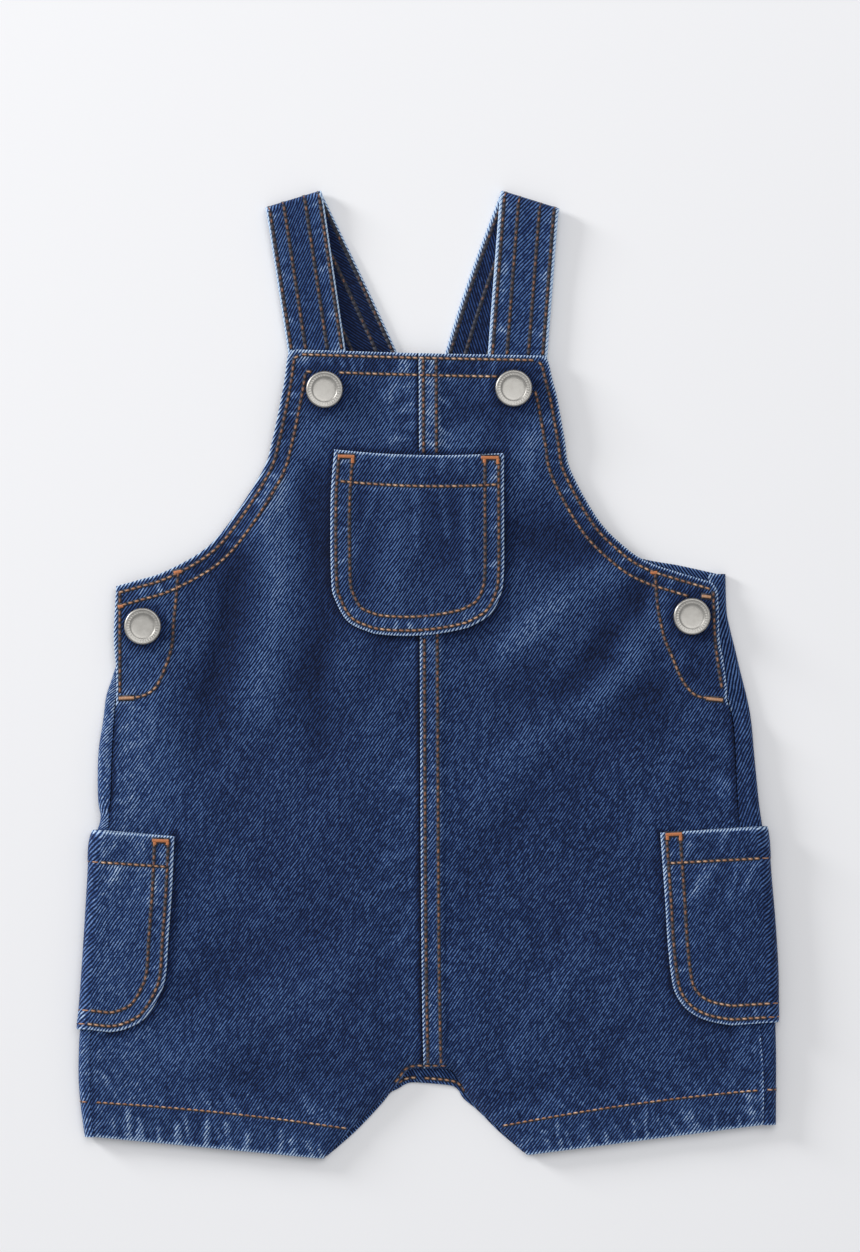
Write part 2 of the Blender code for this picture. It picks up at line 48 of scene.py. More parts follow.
# ---- sizes of the solids ----
CLOTH = 1.2
STRAP = 1.6
GAP = 0.3
LAP_WIDTH = 9.0
LAP_RISE = 0.7
HEM_RISE = 0.5
BEND_REACH = 3.2
UNDERLAP_TOP = 3.0
UNDERLAP_WIDTH = 18.0
UNDERLAP_HEAD = 195.0
TAIL_LAP = 1.5
PLACKET_FOOT = 151.5
WAIST_ROW = 176.0
SEAM_EASE = 0.4
CAP_RADIUS = 7.6
CAP_HEIGHT = 2.2
PAD_RADIUS = 8.5                # the front is pressed flat round a stud this far
PAD_SLOPE = 6.5                 # and slopes up from there over this
STUDS = {                       # x, y, underside of the front there
    "bib_left": (-39.5, 278.5, 4.9),
    "bib_right": (38.0, 279.0, 4.9),
    "side_left": (-114.0, 181.5, 4.5),
    "side_right": (111.0, 185.5, 4.5),
}

# ---- sizes of the finish ----
UNDER_LIFT = 0.26               # keeps the underside's sewing off the surface
EDGE_ROUND = 0.5                # radius of a turned edge
INNER_DROP = 0.6                # share of that rounding on the inner face
RIM_SHIFT = (0.9, -0.9, 0.0)    # how far the cloth moves on across the thickness of an edge
SEAM_HAIR = 0.08                # what shows of the gap along the centre seam
WRAP = 8.8                      # cloth that goes round a side
FACING_RISE = 0.3               # thickness that a facing or a turned hem adds
INSIDE_WEAR = 0.25              # wear and painted light and shade on the inner face, as a share of the outer face's
EDGE_WORN = 0.9                 # how far wear reaches from an edge
STITCH_PITCH = 2.6
STITCH_LENGTH = 2.1
SHORTEST_STITCH = 0.2
LONGEST_STITCH = 1.5 * STITCH_PITCH
THREAD = 0.78                   # thickness of the sewing thread
UNDER_THREAD = 0.42             # and on the underside, where it is pressed flat
STRAP_THREAD = THREAD * 0.95
STRAP_DARKER = (0.36, 0.10)     # how much darker a strap's sewing is: underneath and on the back legs, as painted shade; on top
BED_WIDTH = 1.55                # a dark strip of painted shade for the groove that the thread presses in the cloth
BED_HEIGHT = 0.05
TACK_PITCH = 0.5                # a bartack's threads lie side by side
TACK_WIDTH = 1.5
TACK_THREAD = 0.85
TACK_TONE = 1.5                 # marks a bartack's orange thread in the thread's material
TAN_TONE = 0.42                 # and a bartack in the rows' tan thread
GROOVE_SHADE_TONE = -1.0                 # marks the groove's painted shade in the thread's material

# ---- numbers of the method ----
CURVE_STEPS = 13                # points of a curve between two given ones
NO_LENGTH = 1e-6                # shorter than this, a step along a line counts as none
INSET_SLACK = 0.05
FAR_OFF = 99.0                  # stands for a distance that doesn't count
PLUMB = 30.0                    # how far above or below the cloth a plumb line starts
SAME_FACE = 0.06                # two hits nearer than this in height are on the same face
CAP_CLEAR = 0.9                 # no stitch is nearer than this to a cap
ROUND_OUT = 0.6                 # how far outside a rounded side its sewing is looked for
SEEDS = {"front": 100, "back": 110, "bib_pocket": 120, "side_pocket": 130, "strap": 140}
PUCKER_SEEDS = (0.1, 1.3, 2.7, 4.1)     # a pucker's place, reach, strength and slant

# ---- outlines ----
CENTRE_SEAM = ((-1, 293.5), (0, 69.5), (1, 0))
ARMHOLE = {
    "left": ((-51.5, 295), (-54, 293.5), (-55, 290.5), (-56, 282.5), (-57.5, 274.5),
             (-61, 258), (-65, 245.5), (-78, 225), (-89, 213), (-105, 204),
             (-116, 200.5), (-125, 198)),
    "right": ((49, 292.5), (51.5, 291.5), (52.5, 289), (54, 282.5), (56, 274.5),
              (59, 258), (61.5, 245.5), (73, 225), (85, 213), (94, 207.5),
              (106, 203.5), (119.5, 199.5)),
}
SIDE_EDGE = {                   # the front's outer edge: placket, then side seam
    "left": ((-125, 198), (-125.5, 189.5), (-126, 176), (-125, 163), (-125, 151.5),
             (-125.5, 145), (-126.5, 126.5), (-127, 110.5), (-129, 90), (-132, 57),
             (-135, 20), (-135.5, 3.5), (-135.5, -13.5), (-134, -28)),
    "right": ((119.5, 199.5), (121.5, 196), (122, 189.5), (122.5, 176), (124, 167.5),
              (125.5, 155.5), (125.5, 151.5), (127.5, 143), (128.5, 133), (129.5, 110.5),
              (131, 94), (135, 57), (139, 16), (140, 3.5), (140.5, -8.5),
              (140.5, -23)),
}
OUTLINE = {                     # where the side rounds over
    "left": ((-123.5, 198), (-124, 172), (-126.5, 161.5), (-128.5, 155.5), (-129.5, 151.5),
             (-130.5, 143), (-132.5, 128.5), (-132.5, 110.5), (-131.5, 102.5), (-134.5, 92),
             (-135.5, 77.5), (-137, 53), (-138.7, 28.5), (-140.2, 12), (-140.5, -4.5),
             (-139.5, -17), (-138, -28)),
    "right": ((125, 203), (125.5, 188), (127, 180), (129, 172), (131, 163.5),
              (134, 151.5), (135.5, 143), (137, 126.5), (138.5, 110.5), (139.5, 103),
              (141.5, 90), (142.5, 77.5), (144, 60), (145.2, 40), (145.4, 20),
              (145.7, 3.5), (145.7, -23)),
}
INSEAM = {
    "left": ((1, 0), (-2, 0), (-5.5, -1), (-8, -4.5), (-12, -9), (-17, -13.5),
             (-28, -24.5), (-40, -37)),
    "right": ((1, 0), (8, 0), (12, -0.5), (15, -3.5), (17.5, -8), (19.5, -12),
              (24, -17), (32.5, -25), (43.5, -35.5)),
}
BACK_ARMHOLE = {
    "left": ((-28.5, 273.5), (-31, 262), (-37.5, 245.5), (-49.5, 227), (-68, 213.5),
             (-90.5, 205.5), (-120.3, 198)),
    "right": ((33, 273.5), (35.5, 262), (41.5, 245.5), (53, 227), (69.5, 216.5),
              (90, 209.5), (106, 206.5), (121.8, 203)),
}
BACK_INSEAM = {
    "left": ((1, -6), (-5, -6), (-9.5, -8.5), (-12.5, -10), (-16.5, -15),
             (-27, -26), (-38.5, -36)),
    "right": ((1, -6), (11.5, -7), (15, -8.5), (17.5, -12.5), (23.5, -17.5),
              (32, -26), (42, -34.5)),
}
ROW_LEVELS = {                  # crotch_y, stitch_y, hem_y, inseam_share, bow
    "left": (10, -13.5, -28, 0.70, 1.3),
    "right": (10, -8.5, -23, 0.71, 1.6),
}
ARMHOLE_FOOT_Y = 197.5          # the row from the armhole's foot meets the centre seam here

# ---- heights ----
PLATEAU = ((295, 3.9), (250, 3.9), (225, 4.1), (190, 4.5), (140, 4.7), (20, 4.7), (-10, 4.3),
           (-37, 3.6))
SIDE_LEVEL = ((203, 3.35), (148, 3.35), (138, 4), (128, 4), (112, 5), (2, 5), (-10, 4.2),
              (-37, 3.8))
TAIL_LEVEL = ((205, UNDERLAP_TOP), (148, UNDERLAP_TOP), (138, 5.2))
ARMHOLE_ROLL, SIDE_ROLL, INSEAM_ROLL, HEM_ROLL = 14.0, 26.0, 7.0, 14.0
ARMHOLE_LEVEL = 2.0
ARMHOLE_OUTER_RISE = 1.35       # more than that towards the side
ARMHOLE_BIB_RISE = 1.9          # and beside the bib, where the straps lie under it
INSEAM_LEVEL = CLOTH + GAP
HEM_LEVEL = 2.7
FOLDS = (                       # the solids' own troughs: x0, y0, x1, y1, half_width, depth
    (-76, 198, -86, 150, 5.5, 0.7),
    (-100, 150, -88, 118, 6, 0.5),
    (91, 200, 101, 168, 5, 0.6),
    (104, 146, 92, 112, 6, 0.5),
    (-22, 6, -52, 30, 6, 0.6),
    (28, 2, 60, 22, 6, 0.6),
    (-58, 236, -44, 206, 5.5, 0.5),
)
CREASES = (                     # line, half_width, height: a ridge, or a trough below 0
    (((-76, 209), (-82, 168), (-89, 127)), 7, -0.55),
    (((-60, 241), (-59, 217), (-62, 176), (-65, 151)), 8, 0.50),
    (((-42, 241), (-41, 188), (-43, 135)), 7, -0.50),
    (((-103, 28), (-76, 44), (-50, 57)), 8, -0.55),
    (((-99, 4), (-64, 23), (-29, 45)), 8, 0.55),
    (((-78, -7), (-29, 0)), 6, -0.40),
    (((-13, 43), (-15, 6)), 7, -0.45),
    (((34, 172), (54, 187), (73, 205)), 6.5, 0.55),
    (((57, 155), (75, 175), (90, 196)), 6, -0.60),
    (((53, 135), (86, 164), (82, 184)), 6.5, 0.50),
    (((38, 217), (73, 215)), 9, -0.45),
    (((16, 77), (54, 112), (90, 151)), 11, -0.55),
    (((41, 133), (20, 110)), 7, 0.40),
    (((41, 4), (63, 41)), 7, 0.50),
    (((12, 49), (24, 6)), 5, 0.40),
    (((32, -9), (73, -5)), 6, -0.35),
    (((-13, 284), (-4, 262)), 3.5, -0.30),
    (((45, 258), (45, 241)), 4.5, 0.30),
)
SWELLS = (                      # long soft waves in all cloth: across, up, turn, height
    (47, 90, 0.7, 0.10),
    (-31, 58, 2.1, 0.08),
    (23, -41, 4, 0.06),
)
PUCKERS = {                     # near, far, spacing, height, lean, mirrored lean, seed, half_width
    "armhole": ((2.5, 8.5, 3.6, 0.17, 0.2, False, 1, 0.9),),
    "top": ((1.5, 9.5, 4.4, 0.15, 0.1, False, 2, 1),),
    "seam": ((0.5, 9, 3.8, 0.12, 0.2, False, 4, 1), (8, 17, 9, 0.11, 0.6, False, 14, 1.6)),
    "hem": ((0.5, 13.5, 4.8, 0.32, 0.2, True, 5, 1), (15, 28, 5, 0.20, 0.8, True, 15, 1)),
    "side": ((2, 11, 8.5, 0.18, 0.5, False, 7, 1.8),),
    "placket": ((0, 6, 6, 0.14, 0.3, False, 9, 1.3),),
    "back_armhole": ((2.5, 8.5, 3.6, 0.12, 0.2, False, 21, 0.9),),
    "back_hem": ((1, 14, 7.6, 0.16, 0.2, False, 22, 1.5),),
    "back_seam": ((1, 10, 4.2, 0.10, 0.3, False, 23, 1.1),),
    "bib_pocket_edge": ((2, 8, 3.8, 0.16, 0.2, False, 31, 0.9),),
    "bib_pocket_mouth": ((1.5, 12.5, 6.4, 0.13, 0.2, False, 32, 1.3),
                         (14, 60, 11, 0.10, 0.1, False, 33, 1.6)),
    "side_pocket_edge": ((2, 8, 3.8, 0.17, 0.2, False, 41, 0.9),),
    "side_pocket_mouth": ((1.5, 12.5, 5.6, 0.15, 0.2, False, 43, 1.2),
                          (14, 30, 6.5, 0.15, 0.5, True, 45, 1.4)),
    "strap": ((1.5, 7.5, 4, 1, 0.2, False, 51, 1),),
}

# ---- wear, and painted light and shade ----
FADES_AND_PAINTED_LIGHT = {                       # wash fading, and painted light and shade on the long folds and the sides: line, half_width, how much paler, or darker below 0
    "front": (
        # painted light down the left side, which faces the light
        (((-116, 192), (-119, 0)), 16, 0.29),
        (((-35, 88), (-35, 48)), 14, -0.08),
        (((-13, 282), (-13, 258)), 4, 0.20),
        (((14, 270), (30, 270)), 7, -0.25),
        (((104, 168), (116, 160)), 9, -0.12),
        (((62, 60), (70, 100)), 16, -0.06),
    ),
    "bib_pocket": (
        (((-11, 237), (-11, 192)), 4, 0.15),
        (((-25, 238), (-24, 200)), 6, -0.25),
        (((9, 236), (10, 212)), 12, -0.25),
    ),
    "side_pocket_left": (
        # painted light on the left side, which faces the light
        (((-125, 90), (-128, 20)), 22, 0.26),
    ),
    "side_pocket_right": (
        (((108, 70), (112, 40)), 6, 0.12),
    ),
}
PALE = {                        # how much paler wear or painted light leaves the cloth, or how much darker it stays or is painted in shade
    "edge": 1.50, "ripples": 0.80, "side_ripples": 0.35, "hem_ripples_left": 0.74,
    # the creases' two entries pale the ridges as wear and painted light, and darken the troughs as
    # painted shade
    "hem_ripples_right": 0.50, "hem": 0.08, "creases": 0.13, "creases_above": 0.27, "lap": 0.2,
    "lap_edge": 1.0, "side_foot": 0.9, "back_edge": 1.25, "back_seam": 0.9, "back_ripples": 0.3,
    "underlap": 0.8, "strap_edge": 2.9, "strap_ripples": 0.60,
    # below, all but below_pocket_dark are painted shade and shadow: between the double rows'
    # puckers, over the hips, beside the lap, in the side seams, round the studs and beside the
    # pockets
    "below_pocket_dark": 0.40, "facing_shade": 0.25, "hips_shade": 0.14, "under_lap_shadow": 1.2,
    "side_seam_shade": 0.15, "hip_seam_shade": 0.50, "round_stud_shadow": 0.45,
    "beside_pocket_shadow": 0.55,
}
POCKET_WEAR = {                 # ripples' pale, height of a full one, most; pale of the hem's fold
    "bib_pocket": (0.62, 0.16, 1, 0.35),
    "side_pocket": (0.50, 0.17, 1.4, 0.30),
}
FULL_RIPPLE = 0.17              # a ripple of this height is worn as pale as ripples get
FULL_HEM_RIPPLE = 0.26
FULL_BACK_RIPPLE = 0.12
FULL_CREASE = 0.5
TAIL_PALE = {"left": 0.42, "right": 0.06}       # for the back's edge that shows beside the front
FRONT_LEG_PALE = {"left": -0.04, "right": 0.06}
# painted shade on the straps' back legs, which lie in shadow
BACK_LEG_SHADE = {"left": 0.75, "right": 0.45}
BOLT = {                        # the layer that a piece is cut from: middle, and to each side
    "front": (10, 7), "back": (40, 7), "underlap": (60, 1), "bib_pocket": (80, 0),
    "side_pocket": (90, 5), "strap": (120, 9),
}

# ---- pockets ----
BIB_POCKET = {
    "left": ((-35.5, 254), (-37, 233.5), (-36.8, 201), (-35, 192), (-29.5, 183),
             (-19.5, 178.5)),
    "right": ((34, 252.5), (34, 233.5), (34, 204), (32.5, 194), (28, 186),
              (19.5, 181)),
}
BIB_POCKET_SAG = (1.6, 2.0)
SIDE_POCKET = {
    "left": ((-101, 95.5), (-102, 73.5), (-103.5, 53), (-104.5, 38.5), (-107, 30.5),
             (-113, 21), (-121, 16.5), (-127.5, 15.2)),
    "right": ((98, 97), (100, 69.5), (101, 53), (102.5, 38.5), (104.5, 30.5),
              (109.5, 24), (117, 20), (127, 18)),
}
POCKET_TILT = (2.5, 1.2)
MOUTH_EASE = 0.5
MOUTH_HEM = 12.7                # depth of the hem along a pocket's mouth
SEWN_RISE = 0.2                 # thickness that the bib pocket's turned edges add
BIB_POCKET_ALLOWANCE = 7.9      # and how wide they are
BIB_POCKET_LENGTH = 82.0
SIDE_POCKET_LENGTH = 88.0

# ---- straps ----
STRAPS = {
    "left": {"front": ((-51.5, 274.5), (-28, 274.5)), "fold": ((-64, 353.5), (-41, 360.5)),
             "back": ((-21.5, 260.5), (2, 267.5))},
    "right": {"front": ((26, 274.5), (50.5, 274.5)), "fold": ((33, 360.5), (57, 353)),
              "back": ((2.9, 267.5), (27, 260.5))},
}
BACK_LEG_BOW = {"left": 0.6, "right": -1.8}
STRAP_FOLD_MIDDLE = 3.6
STRAP_FRONT_MIDDLE = 1.9 + STRAP / 2
BACK_BIB_RISE = STRAP + GAP
STRAP_ROWS = (-10.3, -4.4, 4.4, 10.3)

# ---- sewing ----
EDGE_ROWS = (2.9, 8.2)          # double rows, from an armhole's or the lap's edge
ARMHOLE_ROWS_FOOT = (193.0, 190.0)
TOP_ROWS = (2.0, 9.0)           # double rows, from the bib's top edge
BIB_POCKET_ROWS = (2.2, 7.8)
SIDE_POCKET_ROWS = (2.4, 8.0)
INSEAM_ROW, INSEAM_ROW_REACH = 1.3, 11.0        # beside the front's inseam, as far as it shows
BACK_INSEAM_ROW = 1.4
BACK_STRIP_ROW, BACK_STRIP_REACH = 2.0, 22.0    # on the strip of the back that shows at the crotch
PLACKET = {                     # the curved row that holds the placket, and the row along its edge
    "left": {"curve": ((-99.5, 204), (-100.5, 192), (-101.5, 182), (-102, 174), (-104.5, 165.5),
                       (-108, 157.5), (-111, 154.5), (-115, 152.7), (-120, 152)),
             "edge": ((-123.5, 196), (-123.5, 154))},
    "right": {"curve": ((96, 203.5), (97, 190), (98.5, 182), (100, 176), (103, 169),
                        (106, 161.5), (109.5, 156), (113, 153), (118, 152)),
              "edge": ((119.8, 196), (120.6, 176), (123.4, 156))},
}
BARTACKS = {                    # piece: x0, y0, x1, y1, and the tone where it isn't TACK_TONE
    "front_left": ((-101, 203.5, -98.5, 204), (-123.9, 189.6, -122.2, 189.8),
                   (-123.5, 152, -118, 152.2, TAN_TONE)),
    "front_right": ((94.5, 203.5, 97, 203.5), (115.5, 193.9, 118.5, 193.5, TAN_TONE),
                    (117.4, 151.9, 123.4, 151.3, TAN_TONE)),
    "bib_pocket": ((-33.6, 251.2, -27.5, 251), (-28, 250.2, -28, 248.6), (25, 250.6, 32, 250.6),
                   (26, 249.8, 26, 248.4), (31.5, 249.8, 31.5, 248)),
    "side_pocket_left": ((-109.6, 93.8, -103.4, 93.6), (-109, 92.9, -109, 91.9),
                         (-103.8, 92.8, -103.8, 91.9)),
    "side_pocket_right": ((100.5, 96.2, 106.7, 96.5), (100.9, 95.4, 100.9, 94),
                          (106.3, 95.6, 106.3, 93.8)),
}
STITCH_STATIONS = (             # share along, thickness, height
    (-0.5, 0.30, -0.35), (-0.38, 0.85, -0.02), (-0.15, 1, 0.10), (0.15, 1, 0.10),
    (0.38, 0.85, -0.02), (0.5, 0.30, -0.35),
)
STITCH_SIDES = 6

# ---- press studs ----
CAP_PROFILE = (                 # radius and height as shares of the cap's, and the milling's depth
    (0.30, 0.625, 0), (0.50, 0.64, 0), (0.58, 0.66, 0), (0.63, 0.70, 0), (0.67, 0.77, 0),
    (0.70, 0.84, 0), (0.73, 0.87, 0.3), (0.76, 0.885, 1), (0.82, 0.90, 1), (0.86, 0.92, 0.3),
    (0.885, 0.955, 0), (0.91, 0.965, 0), (0.94, 0.93, 0), (0.97, 0.83, 0), (0.99, 0.68, 0),
    (1.0, 0.50, 0), (0.985, 0.28, 0), (0.95, 0.10, 0), (0.90, 0.01, 0), (0.86, 0.0, 0),
)
CAP_DISH = 0.62                 # height of the dish's middle, as a share
MILLED_TEETH = 36
MILLING = 0.07

# ---- colours ----
TWILL_LEAN = math.radians(55.0)
TWILL_WIDTH = 1.08              # across the lines, mm
TWILL_SHARP = 1.6               # above 1, the pale lines are narrower than the dark ones
TWILL_MEAN = 0.54               # mean height of the lines so sharpened
DASH_LENGTH = 1.8
TWILL_CLEAR = 0.68              # how clear the twill is, with this much more in patches
TWILL_CLEAR_PATCHES = 0.16
TWILL_CLEAR_BIB = 0.28          # and this much more on the bib
NOISES = (                      # uneven yarn, clouds and grain: along u and v, detail, strength
    (0.85, 0.045, (3.0, 0.6), 0.26),
    (0.035, 0.028, (3.0,), 0.08),
    (2.4, 1.7, (2.0,), 0.66),
)
DASH_CONTRAST = 0.40
# how strongly the wear attribute's wear, painted light and painted shade change the cloth's colour
WEAR_AND_SHADE_STRENGTH = 0.42
UNWORN_PALEST = 0.72            # the cloth is paler than this only where wear or painted light makes it paler
INDIGO = (                      # how faded the cloth is, and its colour there
    (0.0, (0.0010, 0.0030, 0.0145)),
    (0.30, (0.0050, 0.0160, 0.066)),
    (0.55, (0.022, 0.056, 0.175)),
    (0.80, (0.100, 0.190, 0.400)),
    (1.0, (0.420, 0.540, 0.690)),
)
THREADS = (                     # painted shade of the groove, then the rows' rust to tan, then a bartack's orange
    (0.0, (0.0025, 0.0050, 0.017)),
    (0.10, (0.0025, 0.0050, 0.017)),
    (0.17, (0.050, 0.016, 0.010)),
    (0.42, (0.210, 0.075, 0.031)),
    (0.66, (0.40, 0.210, 0.105)),
    (0.88, (0.76, 0.56, 0.42)),
    (0.93, (0.25, 0.072, 0.021)),
    (1.0, (0.45, 0.150, 0.046)),
)
ROW_PALEST = 0.88
NICKEL = ((0.2, (0.31, 0.298, 0.277)), (0.8, (0.44, 0.427, 0.40)))
PAPER = ((0.0, (0.80, 0.80, 0.815)), (1.0, (0.82, 0.82, 0.832)))

# ---- stage ----
IMAGE = (860, 1252)
PIXEL = 0.41                    # mm of the garment's plane for each pixel
PLANE_HEIGHT = 5.0              # of that plane, mm
CAMERA_AT = (0.89, 19.88)       # the middle of the picture, mm from the garment's middle
CAMERA_LENS = 150.0
SENSOR = 36.0
FLOOR_REACH = 3.0
LIGHTS = (                      # name, x, y, z and size in metres, watts
    ("key", -2.30, 1.28, 0.66, 0.8, 70.0),
    ("fill", 0.3, 0.9, 2.4, 2.2, 24.0),
)
SKY = ((0.97, 0.98, 1.0, 1.0), 0.55)    # colour and strength

# ---- cuts ----
CUTS = {                        # flat size in metres, how it is held, area where not square
    "front_left": ((0.136, 0.332), "laid", 0.0360),
    "front_right": ((0.141, 0.329), "laid", 0.0360),
    "back_left": ((0.152, 0.310), "laid", 0.0350),
    "back_right": ((0.157, 0.308), "laid", 0.0370),
    "underlap_left": ((0.018, 0.042), "laid", None),
    "underlap_right": ((0.018, 0.042), "laid", None),
    "bib_pocket": ((0.071, 0.077), "laid", 0.0052),
    "side_pocket_left": ((0.075, 0.083), "folded", 0.0058),
    "side_pocket_right": ((0.095, 0.080), "folded", 0.0073),
    "strap_left": ((0.024, 0.190), "folded", None),
    "strap_right": ((0.024, 0.190), "folded", None),
}


# ---- curves and tables ----
def smooth(value, start, end):
    """0 before start, 1 past end, and a soft ramp between them; end may lie below start."""
    t = np.clip((np.asarray(value, float) - start) / (end - start), 0.0, 1.0)
    return t * t * (3.0 - 2.0 * t)


def within(away, limit, soft):
    """1 nearer than limit and 0 beyond it, with a soft step between."""
    return smooth(away, limit + soft, limit - soft)


def bell(away, width):
    """1 where away is 0, and softly less and less beyond width."""
    return np.exp(-((away / width) ** 2))


def level(y, table):
    """The height that a table of (y, height) gives, top row first, with soft steps between."""
    height = np.full(np.shape(y), float(table[0][1]))
    for (y0, h0), (y1, h1) in zip(table, table[1:]):
        height = height + (h1 - h0) * smooth(y, y0, y1)
    return height


def curve(points):
    """A dense smooth curve through points."""
    p = np.array([points[0], *points, points[-1]], float)
    t = np.linspace(0.0, 1.0, CURVE_STEPS)[:, None]
    pieces = []
    for a, b, c, d in zip(p, p[1:], p[2:], p[3:]):
        pieces.append(0.5 * (2 * b + (c - a) * t + (2 * a - 5 * b + 4 * c - d) * t**2
                             + (3 * b - a - 3 * c + d) * t**3))
    return np.concatenate(pieces)


def lengths(line):
    """How far along a line of points, flat or in space, each of them is."""
    steps = np.linalg.norm(np.diff(np.asarray(line, float), axis=0), axis=1)
    return np.concatenate([[0.0], np.cumsum(steps)])


def walk(line, shares):
    """Points at shares of a polyline's length."""
    line = np.asarray(line, float)
    along = lengths(line)
    wanted = np.asarray(shares, float) * along[-1]
    return np.column_stack([np.interp(wanted, along, line[:, i]) for i in (0, 1)])


def x_at(points, y):
    """x of an edge that runs from top to bottom, at height y."""
    dense = curve(points)
    order = np.argsort(dense[:, 1])
    return np.interp(y, dense[order, 1], dense[order, 0])


def nearest(x, y, line):
    """Each point's distance from a polyline, and how far along the line its nearest point is."""
    away = np.full(np.shape(x), 1e9)
    along = np.zeros(np.shape(x))
    done = 0.0
    for (x0, y0), (x1, y1) in zip(line, line[1:]):
        dx, dy = x1 - x0, y1 - y0
        span = math.hypot(dx, dy)
        if span < NO_LENGTH:
            continue
        t = np.clip(((x - x0) * dx + (y - y0) * dy) / span**2, 0.0, 1.0)
        here = np.hypot(x - x0 - t * dx, y - y0 - t * dy)
        along = np.where(here < away, done + t * span, along)
        away = np.minimum(away, here)
        done += span
    return away, along


def distance(x, y, line):
    return nearest(x, y, line)[0]


def inset(line, by, middle):
    """The curve that runs `by` inside a line, on the side where middle is."""
    line = np.asarray(line, float)
    line = line[np.concatenate([[True], np.hypot(*np.diff(line, axis=0).T) > NO_LENGTH])]
    run = np.gradient(line, axis=0)
    run = run / np.hypot(*run.T)[:, None]
    across = np.column_stack([-run[:, 1], run[:, 0]])
    half_way = len(line) // 2
    if np.sum((np.asarray(middle) - line[half_way]) * across[half_way]) < 0:
        across = -across
    moved = line + across * by
    return moved[distance(moved[:, 0], moved[:, 1], line) > by - INSET_SLACK]


def clear_of(row, line, by):
    """The part of a row that is further than `by` from a line."""
    return row[distance(row[:, 0], row[:, 1], line) > by]


def seam_x(y):
    return x_at(CENTRE_SEAM, y)


# ---- the form of the garment ----
def front_edges(side):
    """The front's open edges."""
    return {
        "top": np.array([CENTRE_SEAM[0], ARMHOLE[side][0]]),
        "armhole": curve(ARMHOLE[side]),
        "side": curve(SIDE_EDGE[side]),
        "inseam": curve(INSEAM[side]),
        "hem": np.array([INSEAM[side][-1], SIDE_EDGE[side][-1]]),
    }


def from_studs(x, y):
    """The distance from each stud's middle, with the height of the front's underside there."""
    return [(np.hypot(x - stud_x, y - stud_y), pad) for stud_x, stud_y, pad in STUDS.values()]


def front_solid(x, y, side):
    """Height of the front's underside in the solids."""
    lines = front_edges(side)
    plateau = level(y, PLATEAU)
    armhole_level = (ARMHOLE_LEVEL + ARMHOLE_OUTER_RISE * smooth(abs(x), 75, 98)
                     + ARMHOLE_BIB_RISE * smooth(y, 245, 265))
    edges = [
        (armhole_level, distance(x, y, lines["armhole"]), ARMHOLE_ROLL),
        (level(y, SIDE_LEVEL), abs(x_at(SIDE_EDGE[side], y) - x), SIDE_ROLL),
        (INSEAM_LEVEL, distance(x, y, lines["inseam"]), INSEAM_ROLL),
        (HEM_LEVEL, distance(x, y, lines["hem"]), HEM_ROLL),
    ]
    down, up = 0.0, 0.0
    for edge_level, away, roll in edges:
        share = 1.0 - np.sin(0.5 * math.pi * np.clip(away / roll, 0.0, 1.0))
        shift = (edge_level - plateau) * share
        down, up = np.minimum(down, shift), np.maximum(up, shift)
    height = plateau + down + up
    for x0, y0, x1, y1, half_width, depth in FOLDS:
        height = height - depth * bell(distance(x, y, [(x0, y0), (x1, y1)]), half_width)
    for away, pad in from_studs(x, y):
        height = height + (pad - height) * smooth(away, PAD_RADIUS + PAD_SLOPE, PAD_RADIUS)
    return height


def calm(x, y, side):
    """How free the front's cloth is to crease: 0 at its edges, at the studs and over the straps."""
    lines = front_edges(side)
    free = smooth(distance(x, y, lines["armhole"]), 1.0, 8.0)
    free = free * smooth(distance(x, y, lines["inseam"]), 1.0, 9.0)
    free = free * smooth(abs(x_at(SIDE_EDGE[side], y) - x), 1.0, 9.0)
    free = free * (1.0 - 0.75 * smooth(y, 262, 270) * smooth(abs(x), 20, 28))   # the straps
    free = free * (1.0 - smooth(y, 145, 152) * smooth(abs(x), 98, 108))         # the plackets
    for away, _ in from_studs(x, y):
        free = free * smooth(away, PAD_RADIUS, PAD_RADIUS + 7)
    return free


def lines_sum(x, y, rows):
    """The sum of soft ridges or stripes along lines, from rows of line, half_width, height."""
    return sum(height * bell(distance(x, y, line), half_width) for line, half_width, height in rows)


def creases(x, y, side):
    """The creases and the long soft waves that wear has left in the front."""
    waves = sum(rise * np.sin(2 * math.pi * (x / across + y / up) + turn)
                for across, up, turn, rise in SWELLS)
    return (waves + lines_sum(x, y, CREASES)) * calm(x, y, side)


def scatter(number, seed):
    """A value from 0 to 1 that looks random but is the same for the same number and seed."""
    value = np.sin(number * 12.9898 + seed * 78.233) * 43758.5453
    return value - np.floor(value)


def puckers(name, away, along, sign=0.0):
    """Small ridges that sewing draws up beside a seam, uneven in place, length and height."""
    height = 0.0
    for near, far, spacing, rise, lean, mirrored, seed, half_width in PUCKERS[name]:
        lean = lean * sign if mirrored else lean
        first = np.floor((along + lean * away) / spacing)
        for step in (-1, 0, 1, 2):
            number = first + step
            place, reach, strength, slant = (scatter(number, seed + sign + k) for k in PUCKER_SEEDS)
            run = along + (lean + 0.5 * (slant - 0.5)) * away
            centre = (number + 0.9 * (place - 0.5)) * spacing
            end = near + (far - near) * (0.40 + 0.60 * reach)
            band = smooth(away, near - 1.2, near + 0.8) * smooth(away, end + 1.8, end - 1.2)
            ridge = bell(run - centre, half_width * (0.7 + 0.6 * slant))
            height = height + rise * (0.25 + 0.75 * strength) * band * ridge
    return height


def lap_rise(x, y):
    return LAP_RISE * within(x - seam_x(y), LAP_WIDTH, 0.4) * smooth(y, -1, 2)


def back_rise(x, y):
    """How far the back is lifted by the side pockets' back halves and by the straps' ends."""
    pockets = smooth(abs(np.asarray(x)), 70, 86) * smooth(y, 128, 112) * smooth(y, -14, 2)
    return (GAP + CLOTH) * pockets + BACK_BIB_RISE * smooth(y, 232, 252)


